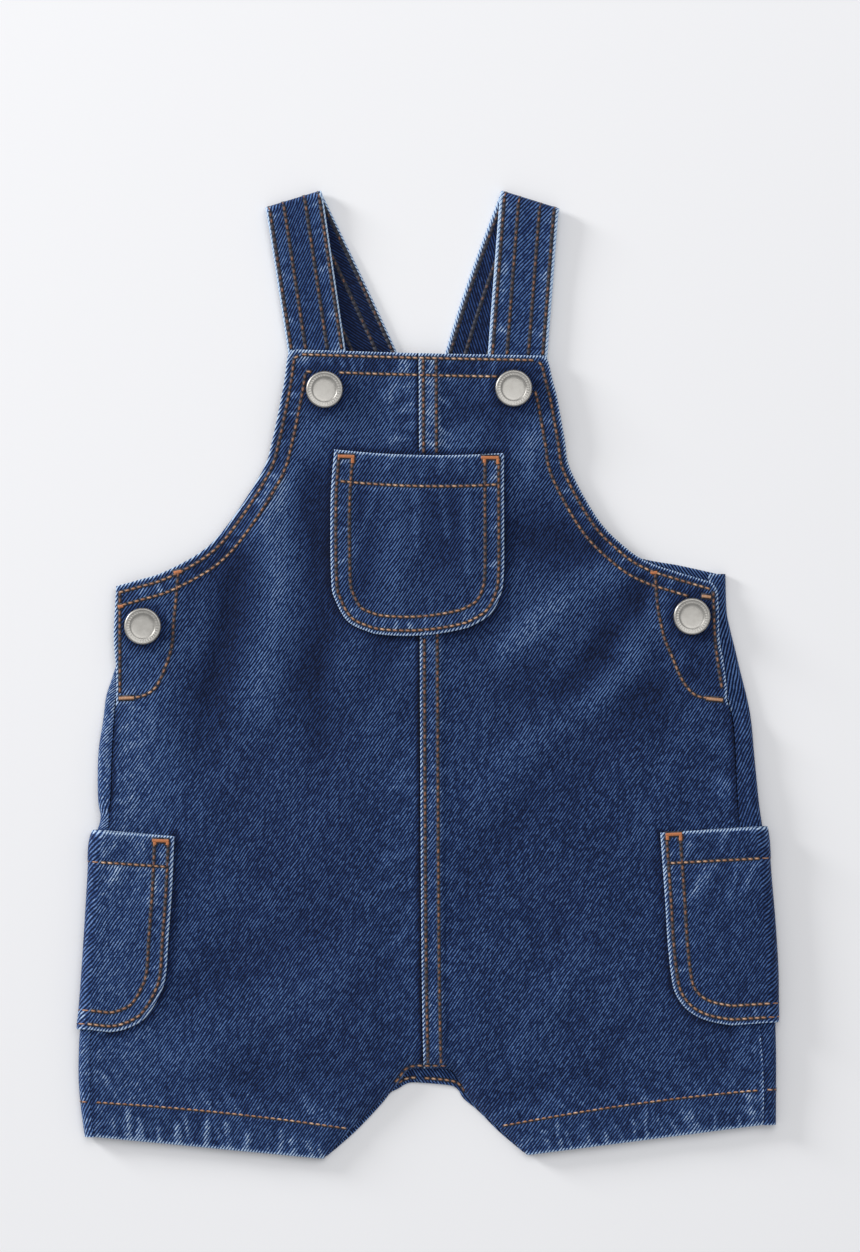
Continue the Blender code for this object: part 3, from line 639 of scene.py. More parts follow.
def tail_top(y):
    """Top of the back's cloth where it comes up beside the front."""
    return np.where(y > 138, level(y, TAIL_LEVEL), level(y, SIDE_LEVEL) + CLOTH)


def bend_start(side, y):
    """Where the side starts to round over, measured from the middle."""
    return abs(x_at(OUTLINE[side], y)) - BEND_REACH


def bend(side, y, turn, out):
    """A point on the rounded side: turn 0 is its top, 1 its foot; out is how far outside."""
    foot = back_rise(x_at(OUTLINE[side], y), y)
    half = 0.5 * (tail_top(y) - foot)
    angle = math.pi * turn
    x = bend_start(side, y) + (BEND_REACH + out) * math.sin(angle)
    return (SIGN[side] * x, y, foot + half + (half + out) * math.cos(angle))


def edge_drop(away):
    """How far a face falls beside an open edge, so that the edge is round."""
    inside = np.clip(EDGE_ROUND - away, 0.0, EDGE_ROUND)
    return EDGE_ROUND - np.sqrt(EDGE_ROUND**2 - inside**2)


# ---- making meshes ----
def add_mesh(name, points, polygons, slot, attributes):
    """A smooth mesh from points in millimetres, with its attributes, on the garment's body."""
    points = (np.asarray(points, float) - (*MIDDLE, 0.0)) * MM
    corners = np.concatenate([np.ravel(group) for group in polygons]).astype(np.int32)
    sizes = np.concatenate([np.full(len(group), np.shape(group)[1]) for group in polygons])
    starts = np.concatenate([[0], np.cumsum(sizes)[:-1]]).astype(np.int32)
    mesh = bpy.data.meshes.new(name)
    mesh.vertices.add(len(points))
    mesh.vertices.foreach_set("co", points.ravel())
    mesh.loops.add(len(corners))
    mesh.loops.foreach_set("vertex_index", corners)
    mesh.polygons.add(len(starts))
    mesh.polygons.foreach_set("loop_start", starts)
    mesh.update(calc_edges=True)
    mesh.shade_smooth()
    for key, values in attributes.items():
        values = np.asarray(values, float)
        vector = values.ndim == 2
        made = mesh.attributes.new(key, "FLOAT_VECTOR" if vector else "FLOAT", "POINT")
        made.data.foreach_set("vector" if vector else "value", values.ravel())
    mesh.materials.append(MATERIALS[slot])
    piece = bpy.data.objects.new(name, mesh)
    bpy.context.scene.collection.objects.link(piece)
    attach(piece, "root")
    return piece


def layer(x, y, z):
    """A grid of points from grids of x and y; z may be one height for them all."""
    return np.stack([x, y, np.broadcast_to(z, np.shape(x))], -1)


def on_the_flat(x, y, kind, sign=0.0):
    """Places in the flat cloth, each piece in a layer of its own, so that no two look the same."""
    return layer(x, y, BOLT[kind][0] + BOLT[kind][1] * sign)


def shell(node, outer, inner, flat, wear, slot="denim", inside_wear=INSIDE_WEAR):
    """A cloth wall between two grids of points, closed round its rim, in a solid's place. The inner
    grid's place in the cloth is moved on a little, so that the twill slants across the rim."""
    rows, cols = outer.shape[:2]
    half = rows * cols
    index = np.arange(half).reshape(rows, cols)
    a, b, c, d = index[:-1, :-1], index[:-1, 1:], index[1:, 1:], index[1:, :-1]
    top = np.stack([a, b, c, d], -1).reshape(-1, 4)
    rim = np.concatenate([index[0, :], index[1:, -1], index[-1, -2::-1], index[-2:0:-1, 0]])
    following = np.roll(rim, -1)
    walls = np.stack([following, rim, half + rim, half + following], -1)
    faces = np.concatenate([top, half + top[:, ::-1], walls])
    r, k = rows // 2, cols // 3
    facing = np.cross(outer[r, k + 1] - outer[r, k], outer[r + 1, k] - outer[r, k])
    if np.dot(facing, outer[r, k] - inner[r, k]) < 0:
        faces = faces[:, ::-1]
    points, places = (np.concatenate([one.reshape(-1, 3), other.reshape(-1, 3)])
                      for one, other in ((outer, inner), (flat, flat + RIM_SHIFT)))
    # wear, painted light and painted shade, fainter on the inner face
    wear_and_shade = np.concatenate([wear.ravel(), inside_wear * wear.ravel()])
    piece = add_mesh(f"{node}_cloth", points, [faces], slot, {"flat": places, "wear": wear_and_shade})
    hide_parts(node)
    return piece


def spread(near, middle, far, width):
    """Shares along a row: set distances from each end, and even steps between them."""
    steps = np.linspace(near[-1], width - far[0], middle + 2)[1:-1]
    return np.concatenate([near, steps, width - np.array(far)]) / width


# ---- panels ----
FINE_EDGE = (0.0, 0.1, 0.25, 0.45, 0.8, 1.4)
FINE_START = (0.0, 0.0008, 0.002, 0.0035, 0.006)
NEAR_STEPS = (*FINE_EDGE, 2.2, 3.1, 4.0, 4.9, 5.8, 6.7, 7.6, 8.4, 8.8, 9.2, 9.7, 10.8, 12.4, 14.4,
              17.0)
FAR_STEPS = (14.0, 12.0, 10.2, 8.6, 7.2, 6.0, 4.9, 3.9, 3.0, 2.2, *FINE_EDGE[::-1])
HEM_SHARES = (0.03, 0.06, *np.linspace(0.12, 0.92, 13), 0.95, 0.97, 0.985, 0.994, 1.0)
TAIL_STEPS = np.array((0.3, 0.6, 0.85, 0.95, 1.0))
BEND_TURNS = np.linspace(1.0, 0.0, 15)[1:]      # from the foot of the bend, which the flat part has


def front_rows(side):
    """The front's rows from the bib to the hem: inner point, outer point, bow, hem share."""
    crotch_y, stitch_y, hem_y, share, bow = ROW_LEVELS[side]
    armhole, inseam = curve(ARMHOLE[side]), curve(INSEAM[side])
    foot_y = ARMHOLE[side][-1][1]

    def on_side(y):
        return x_at(SIDE_EDGE[side], y), y

    def on_seam(y):
        return seam_x(y), y

    rows = []
    shares = [*FINE_START, *np.linspace(0.010, 1.0, 92)]
    for t, outer in zip(shares, walk(armhole, shares)):
        y = CENTRE_SEAM[0][1] + (ARMHOLE_FOOT_Y - CENTRE_SEAM[0][1]) * t
        rows.append((on_seam(y), outer, 0.0, 0.0))
    for t in np.linspace(0.0, 1.0, 33)[1:]:
        inner_y = ARMHOLE_FOOT_Y + (PLACKET_FOOT - ARMHOLE_FOOT_Y) * t
        rows.append((on_seam(inner_y), on_side(foot_y + (PLACKET_FOOT - foot_y) * t), 0.0, 0.0))
    for t in np.linspace(0.0, 1.0, 98)[1:]:
        y = PLACKET_FOOT + (crotch_y - PLACKET_FOOT) * t
        rows.append((on_seam(PLACKET_FOOT * (1.0 - t)), on_side(y), 0.0, 0.0))
    for t in np.linspace(0.0, 1.0, 23)[1:]:
        y = crotch_y + (stitch_y - crotch_y) * t
        rows.append((walk(inseam, [share * t])[0], on_side(y), bow * t, 0.0))
    for t in HEM_SHARES:
        inner = walk(inseam, [share + (1.0 - share) * t])[0]
        y = stitch_y + (hem_y - stitch_y) * t
        rows.append((inner, on_side(y), bow * (1.0 - t), smooth(t, 0.0, 0.06)))
    return rows


def front_grid(side):
    """x, y and hem share of the front's points."""
    x, y, hems = [], [], []
    for inner, outer, bow, hem in front_rows(side):
        inner, outer = np.array(inner, float), np.array(outer, float)
        along = spread(NEAR_STEPS, 80, FAR_STEPS, np.hypot(*(outer - inner)))
        x.append(inner[0] + (outer[0] - inner[0]) * along)
        y.append(inner[1] + (outer[1] - inner[1]) * along + 4 * bow * along * (1 - along))
        hems.append(np.full(len(along), float(hem)))
    return np.array(x), np.array(y), np.array(hems)


def pocket_edge_shadow(x, y, side):
    """Near 1 along the edges of the pockets, where a contact shadow is painted on the front's
    cloth.
    """
    lines = [*bib_pocket_edges(), curve(SIDE_POCKET[side])]
    return bell(np.minimum.reduce([distance(x, y, line) for line in lines]), 2.0)


def front_detail(x, y, side):
    """Ripples beside the front's seams, extra thickness of its turned edges, and its wear."""
    reach = {name: nearest(x, y, line) for name, line in front_edges(side).items()}
    sign = SIGN[side]
    seam = abs(x - seam_x(y))
    uncovered = 1 - smooth(y, 256, 252) * smooth(y, 178, 184) * smooth(abs(x), 40, 34)
    below_placket = smooth(y, 150, 142)
    ripples = (puckers("armhole", *reach["armhole"], sign) + puckers("top", *reach["top"], sign)
               + puckers("seam", seam, y, sign) * uncovered)
    hem_ripples = puckers("hem", *reach["hem"], sign)
    side_ripples = puckers("side", *reach["side"], sign) * below_placket
    side_ripples += puckers("placket", *nearest(x, y, curve(PLACKET[side]["curve"])), sign)
    facing = FACING_RISE * np.maximum(within(reach["armhole"][0], EDGE_ROWS[1], 0.7),
                                      within(reach["top"][0], TOP_ROWS[1], 0.7))
    # a painted shadow in a ring round each stud's cap
    stud_shadow_ring = 0.0
    for away, _ in from_studs(x, y):
        clear = smooth(away, PAD_RADIUS, PAD_RADIUS + 3)
        ripples, side_ripples, facing = ripples * clear, side_ripples * clear, facing * clear
        stud_shadow_ring = stud_shadow_ring + bell(away - CAP_RADIUS, 3.0)
    free_edge = np.minimum.reduce([reach[name][0] for name in ("top", "armhole", "hem")])
    free_edge = np.minimum(free_edge, reach["side"][0] + FAR_OFF * below_placket)
    open_edge = np.minimum(free_edge, reach["inseam"][0])

    from_side = reach["side"][0]
    below_pocket = smooth(seam, 19, 12) * smooth(y, 184, 176)
    wear_and_shade = PALE["edge"] * bell(free_edge, EDGE_WORN)
    # painted shade in the side seam's valley below the plackets, stronger over the hips
    seam_shade = PALE["side_seam_shade"] + PALE["hip_seam_shade"] * smooth(y, 96, 112)
    wear_and_shade -= seam_shade * below_placket * np.exp(-from_side / 1.2)
    wear_and_shade += PALE["side_ripples"] * np.clip(side_ripples / FULL_RIPPLE, 0, 1)
    pale = PALE["ripples"] - PALE["below_pocket_dark"] * below_pocket
    wear_and_shade += pale * np.clip(ripples / FULL_RIPPLE, 0, 1)
    # painted shade in the double-row bands, between the puckers' pale crests
    wear_and_shade -= PALE["facing_shade"] * facing / FACING_RISE
    # painted shade over the hips and waist, where their rounded top catches the light
    wear_and_shade -= PALE["hips_shade"] * smooth(y, 120, 165) * smooth(y, 245, 215)
    wear_and_shade += PALE[f"hem_ripples_{side}"] * np.clip(hem_ripples / FULL_HEM_RIPPLE, 0, 1.05)
    # the fades table adds wash fading and painted light and shade
    wear_and_shade += PALE["hem"] * smooth(reach["hem"][0], 16, 13) + lines_sum(x, y, FADES_AND_PAINTED_LIGHT["front"])
    # painted shadow round the studs
    wear_and_shade -= PALE["round_stud_shadow"] * stud_shadow_ring
    # painted contact shadow along the pockets' edges
    wear_and_shade -= PALE["beside_pocket_shadow"] * pocket_edge_shadow(x, y, side)
    if side == "right":
        lap = PALE["lap_edge"] * bell(seam, 0.8) + PALE["lap"] * within(seam, LAP_WIDTH, 0.8)
        wear_and_shade += lap * uncovered
        wear_and_shade += PALE["side_foot"] * bell(from_side, EDGE_WORN) * smooth(y, 22, 14)
    else:
        # painted shadow beside the lap
        wear_and_shade -= PALE["under_lap_shadow"] * bell(seam, 1.3) * uncovered
    return ripples + side_ripples + hem_ripples, facing, wear_and_shade, open_edge


def make_front(side):
    x, y, hem = front_grid(side)
    ripples, facing, wear_and_shade, open_edge = front_detail(x, y, side)
    crease = creases(x, y, side)
    under = front_solid(x, y, side) + crease
    thick = CLOTH + HEM_RISE * hem + facing
    from_seam = abs(x - seam_x(y))
    if side == "right":
        thick = thick + lap_rise(x, y)
    drop = edge_drop(np.minimum(open_edge, from_seam))
    x = x + SIGN[side] * SEAM_HAIR / 2 * smooth(from_seam, 0.3, 0.0)
    outer = layer(x, y, under + thick + ripples - drop)
    inner = layer(x, y, under + INNER_DROP * drop)
    # the creases' ridges are paler, as wear and painted light, and their troughs darker, as painted
    # shade
    pale = PALE["creases"] + PALE["creases_above"] * smooth(y, 120, 170)
    wear_and_shade = wear_and_shade + pale * np.clip(crease / FULL_CREASE, -1, 1)
    return shell(f"front_{side}", outer, inner, on_the_flat(x, y, "front", SIGN[side]), wear_and_shade)


def back_rows(side):
    """The back's rows from its top to the hem, each from the centre seam to the side's bend."""
    crotch_y, _, hem_y, _, _ = ROW_LEVELS[side]
    corner_x, corner_y = BACK_ARMHOLE[side][0]
    shares = np.array([*FINE_START, *np.linspace(0.015, 0.9, 30)])
    bib_top = np.column_stack([corner_x * shares, np.full(len(shares), corner_y)])
    armhole = walk(curve(BACK_ARMHOLE[side]), np.linspace(0.0, 1.0, 60))
    top = np.concatenate([bib_top, armhole])
    across = (top[:, 0] / top[-1, 0])[:, None]

    def level_row(inner, y):
        inner, outer = np.array(inner), np.array((SIGN[side] * bend_start(side, y), y))
        return inner + (outer - inner) * across

    waist = level_row((0.0, WAIST_ROW), WAIST_ROW)
    rows = [top + (waist - top) * t for t in [*FINE_START, *np.linspace(0.012, 1.0, 60)]]
    rows += [level_row((0.0, y), y) for y in np.linspace(WAIST_ROW, PLACKET_FOOT + 2.0, 14)[1:]]
    inseam = curve(BACK_INSEAM[side])
    for t in np.linspace(0.0, 1.0, 80):
        inner = (0.0, PLACKET_FOOT + (inseam[0, 1] - PLACKET_FOOT) * t)
        rows.append(level_row(inner, PLACKET_FOOT + (crotch_y - PLACKET_FOOT) * t))
    for t in [*np.linspace(0.0, 0.97, 30)[1:], 0.985, 0.994, 1.0]:
        rows.append(level_row(walk(inseam, [t])[0], crotch_y + (hem_y - crotch_y) * t))
    return rows


def back_grids(side):
    """Outer and inner points of the back, which rounds the side and ends in a tail facing up."""
    sign = SIGN[side]
    outer, inner, flat = [], [], []
    for row in back_rows(side):
        x, y = row[:, 0], row[:, 1]
        x = x + sign * 0.5 * SEAM_HAIR * (np.arange(len(x)) == 0)
        side_y = y[-1]
        seam = abs(x_at(SIDE_EDGE[side], side_y))
        ease = SEAM_HAIR + (SEAM_EASE - SEAM_HAIR) * float(smooth(side_y, 96, 112))
        tail = seam - TAIL_LAP if side_y > PLACKET_FOOT + 1.0 else seam + ease
        start = abs(bend(side, side_y, 0.0, 0.0)[0])
        tail_x = start + (tail - start) * TAIL_STEPS
        ends_y = np.full(len(tail_x), side_y)
        for grid, depth, lift in ((outer, 0.0, UNDER_LIFT), (inner, CLOTH, 0.0)):
            low = layer(x, y, back_rise(x, y) + depth + lift)
            rounded = np.array([bend(side, side_y, turn, -depth) for turn in BEND_TURNS])
            if lift:
                rounded[:, 2] = np.maximum(rounded[:, 2], low[-1, 2])
            ends = layer(sign * tail_x, ends_y, float(tail_top(side_y)) - depth)
            grid.append(np.concatenate([low, rounded, ends]))
        developed = np.concatenate([abs(x), abs(x[-1]) + WRAP * (1.0 - BEND_TURNS),
                                    abs(x[-1]) + WRAP + abs(tail_x - start)])
        along = np.concatenate([y, np.full(len(BEND_TURNS) + len(tail_x), side_y)])
        flat.append(on_the_flat(-sign * developed, along, "back", sign))
    return np.array(outer), np.array(inner), np.array(flat)


def make_back(side):
    sign = SIGN[side]
    outer, inner, flat = back_grids(side)
    x, y = outer[..., 0], outer[..., 1]
    column = np.arange(outer.shape[1])
    low_face = column < outer.shape[1] - len(BEND_TURNS) - len(TAIL_STEPS)
    tail = column >= outer.shape[1] - len(TAIL_STEPS)
    corner = BACK_ARMHOLE[side][0]
    armhole = nearest(x, y, curve(BACK_ARMHOLE[side]))
    hem = nearest(x, y, [BACK_INSEAM[side][-1], OUTLINE[side][-1]])
    open_edge = np.minimum.reduce([distance(x, y, [(0.0, corner[1]), corner]), armhole[0],
                                   distance(x, y, curve(BACK_INSEAM[side])), hem[0]])
    ripples = (puckers("back_armhole", *armhole, sign) + puckers("back_hem", *hem, sign)
               + puckers("back_seam", abs(x), y, sign))
    raised = ripples * low_face
    drop = edge_drop(np.minimum(open_edge, abs(x))) * low_face
    in_seam = smooth(y, 150, 142)
    tail_reach = np.where(tail, abs(outer[:, -1:, 0] - x), FAR_OFF)
    tail_drop = edge_drop(tail_reach) * (1.0 - in_seam)
    outer[..., 2] += raised + 0.5 * drop - tail_drop
    inner[..., 2] += 0.5 * raised - 0.5 * drop + INNER_DROP * tail_drop
    wear_and_shade = PALE["back_edge"] * bell(open_edge, EDGE_WORN) + TAIL_PALE[side] * ~low_face
    # pale along the tail's edge, but below the plackets painted shade in the side seam
    wear_and_shade += np.exp(-tail_reach / 0.8) * (1.0 - 1.25 * in_seam)
    wear_and_shade += PALE["back_seam"] * bell(abs(x), 0.8) * low_face
    wear_and_shade += PALE["back_ripples"] * np.clip(ripples / FULL_BACK_RIPPLE, 0, 1) * low_face
    return shell(f"back_{side}", outer, inner, flat, wear_and_shade)


def make_underlap(side):
    """The strip of the back's placket that carries the lower half of the side stud."""
    sign = SIGN[side]
    across = np.linspace(0.0, 1.0, 19)
    y = np.array([*(UNDERLAP_HEAD - d for d in FINE_EDGE),
                  *np.linspace(193.0, PLACKET_FOOT + 2.0, 34)])
    edge = abs(x_at(SIDE_EDGE[side], y)) - TAIL_LAP - 1.5 * GAP
    x = sign * (edge[:, None] - UNDERLAP_WIDTH * (1.0 - across))
    y = np.repeat(y[:, None], len(across), 1)
    top = layer(x, y, UNDERLAP_TOP)
    wear_and_shade = PALE["underlap"] * np.exp(-(UNDERLAP_HEAD - y) / 0.8)
    flat = on_the_flat(x, y, "underlap", sign)
    return shell(f"underlap_{side}", top, top - (0.0, 0.0, CLOTH), flat, wear_and_shade)


# ---- pockets ----
def pocket_rows(length):
    """Shares down a pocket, close together at its mouth and its foot."""
    fine = np.array(FINE_EDGE) / length
    return np.concatenate([fine, np.linspace(fine[-1], 1.0 - fine[-1], 62)[1:-1], 1.0 - fine[::-1]])


def pocket_wear(kind, edge, mouth_reach, ripples):
    """Wear on a pocket's edge, on its ripples and under the row along its mouth's hem."""
    pale, full, most, fold_pale = POCKET_WEAR[kind]
    wear_and_shade = PALE["edge"] * bell(edge, EDGE_WORN) + pale * np.clip(ripples / full, 0, most)
    return wear_and_shade + fold_pale * bell(mouth_reach - MOUTH_HEM - 1.2, EDGE_WORN)


def bib_pocket_edges():
    """The bib pocket's mouth, and its sewn edge from one end of the mouth to the other."""
    left, right = curve(BIB_POCKET["left"]), curve(BIB_POCKET["right"])
    shares = np.linspace(0.0, 1.0, 40)[:, None]
    sag = 4 * shares[:, 0] * (1 - shares[:, 0])
    mouth = left[0] + (right[0] - left[0]) * shares
    foot = left[-1] + (right[-1] - left[-1]) * shares
    mouth[:, 1] -= BIB_POCKET_SAG[0] * sag
    foot[:, 1] -= BIB_POCKET_SAG[1] * sag
    return mouth, np.concatenate([left, foot, right[::-1]])


def make_bib_pocket():
    down = pocket_rows(BIB_POCKET_LENGTH)
    left, right = walk(curve(BIB_POCKET["left"]), down), walk(curve(BIB_POCKET["right"]), down)
    near = (*FINE_EDGE, 3.0, 5.0, 7.8)
    x, y = [], []
    for t, start, end in zip(down, left, right):
        shares = spread(near, 44, near[::-1], end[0] - start[0])
        sag = BIB_POCKET_SAG[0] * (1 - t) + BIB_POCKET_SAG[1] * t**3
        x.append(start[0] + (end[0] - start[0]) * shares)
        y.append(start[1] + (end[1] - start[1]) * shares - 4 * sag * shares * (1 - shares))
    x, y = np.array(x), np.array(y)
    t = np.repeat(down[:, None], x.shape[1], 1)
    mouth_reach, sewn_reach = (nearest(x, y, line) for line in bib_pocket_edges())
    below = {side: front_solid(x, y, side) + creases(x, y, side) for side in SIDES}
    base = np.where(x < 0, below["left"], below["right"])
    base = base + CLOTH + LAP_RISE * smooth(abs(x - 4.0), 26, 12)
    base = base + GAP + MOUTH_EASE * smooth(t, 0.15, 0.0)
    ripples = puckers("bib_pocket_edge", *sewn_reach) + puckers("bib_pocket_mouth", *mouth_reach)
    thick = CLOTH + FACING_RISE * within(mouth_reach[0], MOUTH_HEM, 0.8)
    thick = thick + SEWN_RISE * within(sewn_reach[0], BIB_POCKET_ALLOWANCE, 0.7)
    edge = np.minimum(mouth_reach[0], sewn_reach[0])
    drop = edge_drop(edge)
    outer = layer(x, y, base + thick + ripples - drop)
    inner = layer(x, y, base + INNER_DROP * drop)
    wear_and_shade = pocket_wear("bib_pocket", edge, mouth_reach[0], ripples) - 0.08
    # the fades table adds wash fading and painted light and shade
    wear_and_shade += lines_sum(x, y, FADES_AND_PAINTED_LIGHT["bib_pocket"])
    flat = on_the_flat(x + 3.3, y + 1.7, "bib_pocket")
    return shell("bib_pocket", outer, inner, flat, wear_and_shade)


def side_pocket_edge(side):
    """A side pocket on the flat: its mouth, and its sewn edge with the back half's mirror image."""
    front = curve(SIDE_POCKET[side])
    front[:, 0] = abs(front[:, 0])
    turn_x = bend_start(side, 55.0) + WRAP / 2
    back = front[::-1] * (-1.0, 1.0) + (2 * turn_x, 0.0)
    mouth = [front[0], (turn_x, front[0, 1] + POCKET_TILT[0]), back[-1]]
    foot = [front[-1], (turn_x, front[-1, 1] + POCKET_TILT[1]), back[0]]
    sewn = np.concatenate([front, walk(foot, np.linspace(0, 1, 30)), back])
    return walk(mouth, np.linspace(0, 1, 60)), sewn


def side_pocket_row(side, edge_x, edge_y, t):
    """One row of a side pocket: its inner and outer points, and its points on the flat."""
    sign = SIGN[side]
    tilt = POCKET_TILT[0] + (POCKET_TILT[1] - POCKET_TILT[0]) * t
    ease = GAP + MOUTH_EASE * smooth(t, 0.15, 0.0)
    side_y = edge_y + tilt
    bend_x = bend_start(side, side_y)
    width = bend_x - abs(edge_x)
    fine = np.array(FINE_EDGE) / max(width, 6.0)
    shares = np.concatenate([fine, np.linspace(fine[-1], 1.0, 28)[1:-1]])
    x = abs(edge_x) + width * shares
    y = edge_y + tilt * shares
    turns = np.linspace(0.0, 1.0, 17)
    beyond = x > abs(x_at(SIDE_EDGE[side], y))
    front = front_solid(sign * x, y, side) + creases(sign * x, y, side) + CLOTH
    front_in = layer(sign * x, y, np.where(beyond, tail_top(y), front) + ease)
    bend_in, bend_out = (np.array([bend(side, side_y, turn, ease + depth) for turn in turns])
                         for depth in (0.0, CLOTH))
    low = back_rise(sign * x, y)
    lower_ease = np.minimum(ease, GAP)
    bend_in[:, 2] = np.maximum(bend_in[:, 2], low[-1] - lower_ease)
    bend_out[:, 2] = np.maximum(bend_out[:, 2], low[-1] - lower_ease - CLOTH + UNDER_LIFT)
    back_in = layer(sign * x, y, low - lower_ease)[::-1]
    back_out = back_in - (0.0, 0.0, CLOTH - UNDER_LIFT)
    inner = np.concatenate([front_in, bend_in, back_in])
    outer = np.concatenate([front_in + (0.0, 0.0, CLOTH), bend_out, back_out])
    across = np.concatenate([x, bend_x + WRAP * turns, bend_x + WRAP + (bend_x - x[::-1])])
    up = np.concatenate([y, np.full(len(turns), side_y), y[::-1]])
    return inner, outer, across, up


def make_side_pocket(side):
    """A patch pocket that goes from the front, round the side, to the back."""
    sign = SIGN[side]
    down = pocket_rows(SIDE_POCKET_LENGTH)
    edge_points = walk(curve(SIDE_POCKET[side]), down)
    rows = [side_pocket_row(side, *point, t) for t, point in zip(down, edge_points)]
    inner, outer, across, up = (np.array([row[i] for row in rows]) for i in range(4))
    mouth_reach, sewn_reach = (nearest(across, up, line) for line in side_pocket_edge(side))
    edge = np.minimum(mouth_reach[0], sewn_reach[0])
    ripples = puckers("side_pocket_edge", *sewn_reach, sign)
    ripples = ripples + puckers("side_pocket_mouth", *mouth_reach, sign)
    thick = FACING_RISE * within(mouth_reach[0], MOUTH_HEM, 0.8)
    out = outer - inner
    out = out / np.linalg.norm(out, axis=-1, keepdims=True)
    facing_up = smooth(out[..., 2], -0.4, 0.3)
    move = (ripples + thick) * facing_up
    drop = edge_drop(edge)
    outer = outer + out * (move - drop * (0.5 + 0.5 * facing_up))[..., None]
    inner = inner + out * (0.5 * drop)[..., None]
    wear_and_shade = pocket_wear("side_pocket", edge, mouth_reach[0], ripples)
    # the fades table adds wash fading and painted light and shade
    wear_and_shade += lines_sum(sign * across, up, FADES_AND_PAINTED_LIGHT[f"side_pocket_{side}"])
    flat = on_the_flat(sign * across + 1.9, up - 0.8, "side_pocket", sign)
    return shell(f"side_pocket_{side}", outer, inner, flat, wear_and_shade)


# ---- straps ----
STRAP_ACROSS = np.array([0.0, 0.004, 0.010, 0.02, 0.04, *np.linspace(0.08, 0.92, 17), 0.96, 0.98,
                         0.99, 0.996, 1.0])
FRONT_LEG_ROWS, FOLD_ROWS, BACK_LEG_ROWS = 61, 15, 69


def strap_grids(side):
    """Outer and inner points of a strap, a strip folded over at the shoulder, and its length."""
    rows = {name: np.array(ends, float) for name, ends in STRAPS[side].items()}
    fold_along = rows["fold"][1] - rows["fold"][0]
    fold_along = fold_along / np.hypot(*fold_along)
    out_of_fold = np.array([-fold_along[1], fold_along[0]])
    back_middle = 0.5 * STRAP
    radius = 0.5 * (STRAP_FOLD_MIDDLE - back_middle)
    fold = rows["fold"] - out_of_fold * (radius + 0.5 * STRAP)
    stations = []
    for t in np.linspace(0.0, 1.0, FRONT_LEG_ROWS + 1)[:-1]:
        ends = rows["front"] + (fold - rows["front"]) * t
        rise = (STRAP_FOLD_MIDDLE - STRAP_FRONT_MIDDLE) * float(smooth(t, 0.6, 1.0))
        stations.append((ends, STRAP_FRONT_MIDDLE + rise, 0.0))
    for angle in np.linspace(0.0, math.pi, FOLD_ROWS):
        ends = fold + out_of_fold * radius * math.sin(angle)
        stations.append((ends, back_middle + radius * (1 + math.cos(angle)), angle))
    for t in np.linspace(0.0, 1.0, BACK_LEG_ROWS + 1)[1:]:
        swing = np.array([BACK_LEG_BOW[side] * math.sin(math.pi * t), 0.0])
        stations.append((fold + (rows["back"] - fold) * t + swing, back_middle, math.pi))
    outer, inner = [], []
    width = float(np.hypot(*(rows["front"][1] - rows["front"][0])))
    from_edge = np.minimum(STRAP_ACROSS, 1.0 - STRAP_ACROSS) * width
    for ends, height, angle in stations:
        line = ends[0] + (ends[1] - ends[0]) * STRAP_ACROSS[:, None]
        lift = UNDER_LIFT * smooth(angle, 0.5 * math.pi, math.pi)
        for grid, facing in ((outer, 1.0), (inner, -1.0)):
            reach = facing * (0.5 * STRAP - edge_drop(from_edge) - lift * (facing > 0))
            moved = line + out_of_fold * (reach * math.sin(angle))[:, None]
            grid.append(np.column_stack([moved, height + reach * math.cos(angle)]))
    outer, inner = np.array(outer), np.array(inner)
    return outer, inner, lengths(0.5 * (outer + inner)[:, len(STRAP_ACROSS) // 2]), width


def make_strap(side):
    outer, inner, along, width = strap_grids(side)
    run, across = np.meshgrid(along, (STRAP_ACROSS - 0.5) * width, indexing="ij")
    from_edge = width / 2 - abs(across)
    fold_at = along[FRONT_LEG_ROWS]
    folded = smooth(run, fold_at, fold_at + 10)
    ridges = np.clip(puckers("strap", from_edge, run, SIGN[side]), 0, 1.0)
    wear_and_shade = PALE["strap_edge"] * bell(from_edge, 1.2)
    wear_and_shade += PALE["strap_ripples"] * ridges * (1 - 0.6 * folded)
    # the back legs are painted darker, as shade
    wear_and_shade += FRONT_LEG_PALE[side] * (1 - folded) - BACK_LEG_SHADE[side] * folded
    flat = on_the_flat(across, run, "strap", SIGN[side])
    return shell(f"strap_{side}", outer, inner, flat, wear_and_shade, "strap_denim", inside_wear=1.0)


# ---- sewing ----
def stitch_template():
    """One stitch: its points along, across and up for a length and a thickness of 1, how much paler
    each is, and its faces. The paleness is a painted highlight in the thread's middle, where it
    bulges up towards the light, aslant as its strands twist, and painted shade at its ends."""
    along, thick, lift = (column[:, None] for column in np.array(STITCH_STATIONS).T)
    angles = 2 * math.pi * np.arange(STITCH_SIDES) / STITCH_SIDES
    across, up = 0.5 * thick * np.cos(angles), 0.5 * thick * np.sin(angles) + lift
    points = np.stack([np.broadcast_to(along, up.shape), across, up], -1).reshape(-1, 3)
    # painted highlight mid-stitch, aslant, and painted shade at the ends
    pale = 0.22 - 1.6 * (along + 0.2 * np.cos(angles)) ** 2
    index = np.arange(len(points)).reshape(-1, STITCH_SIDES)
    after = np.roll(index, -1, 1)
    tube = np.stack([index[:-1], after[:-1], after[1:], index[1:]], -1).reshape(-1, 4)
    half_ends = np.array(((0, 1, 2, 3), (3, 4, 5, 0)))
    ends = np.stack([half_ends[:, ::-1], index[-1, 0] + half_ends], 1).reshape(-1, 4)
    return points, pale.ravel(), np.concatenate([tube, ends])


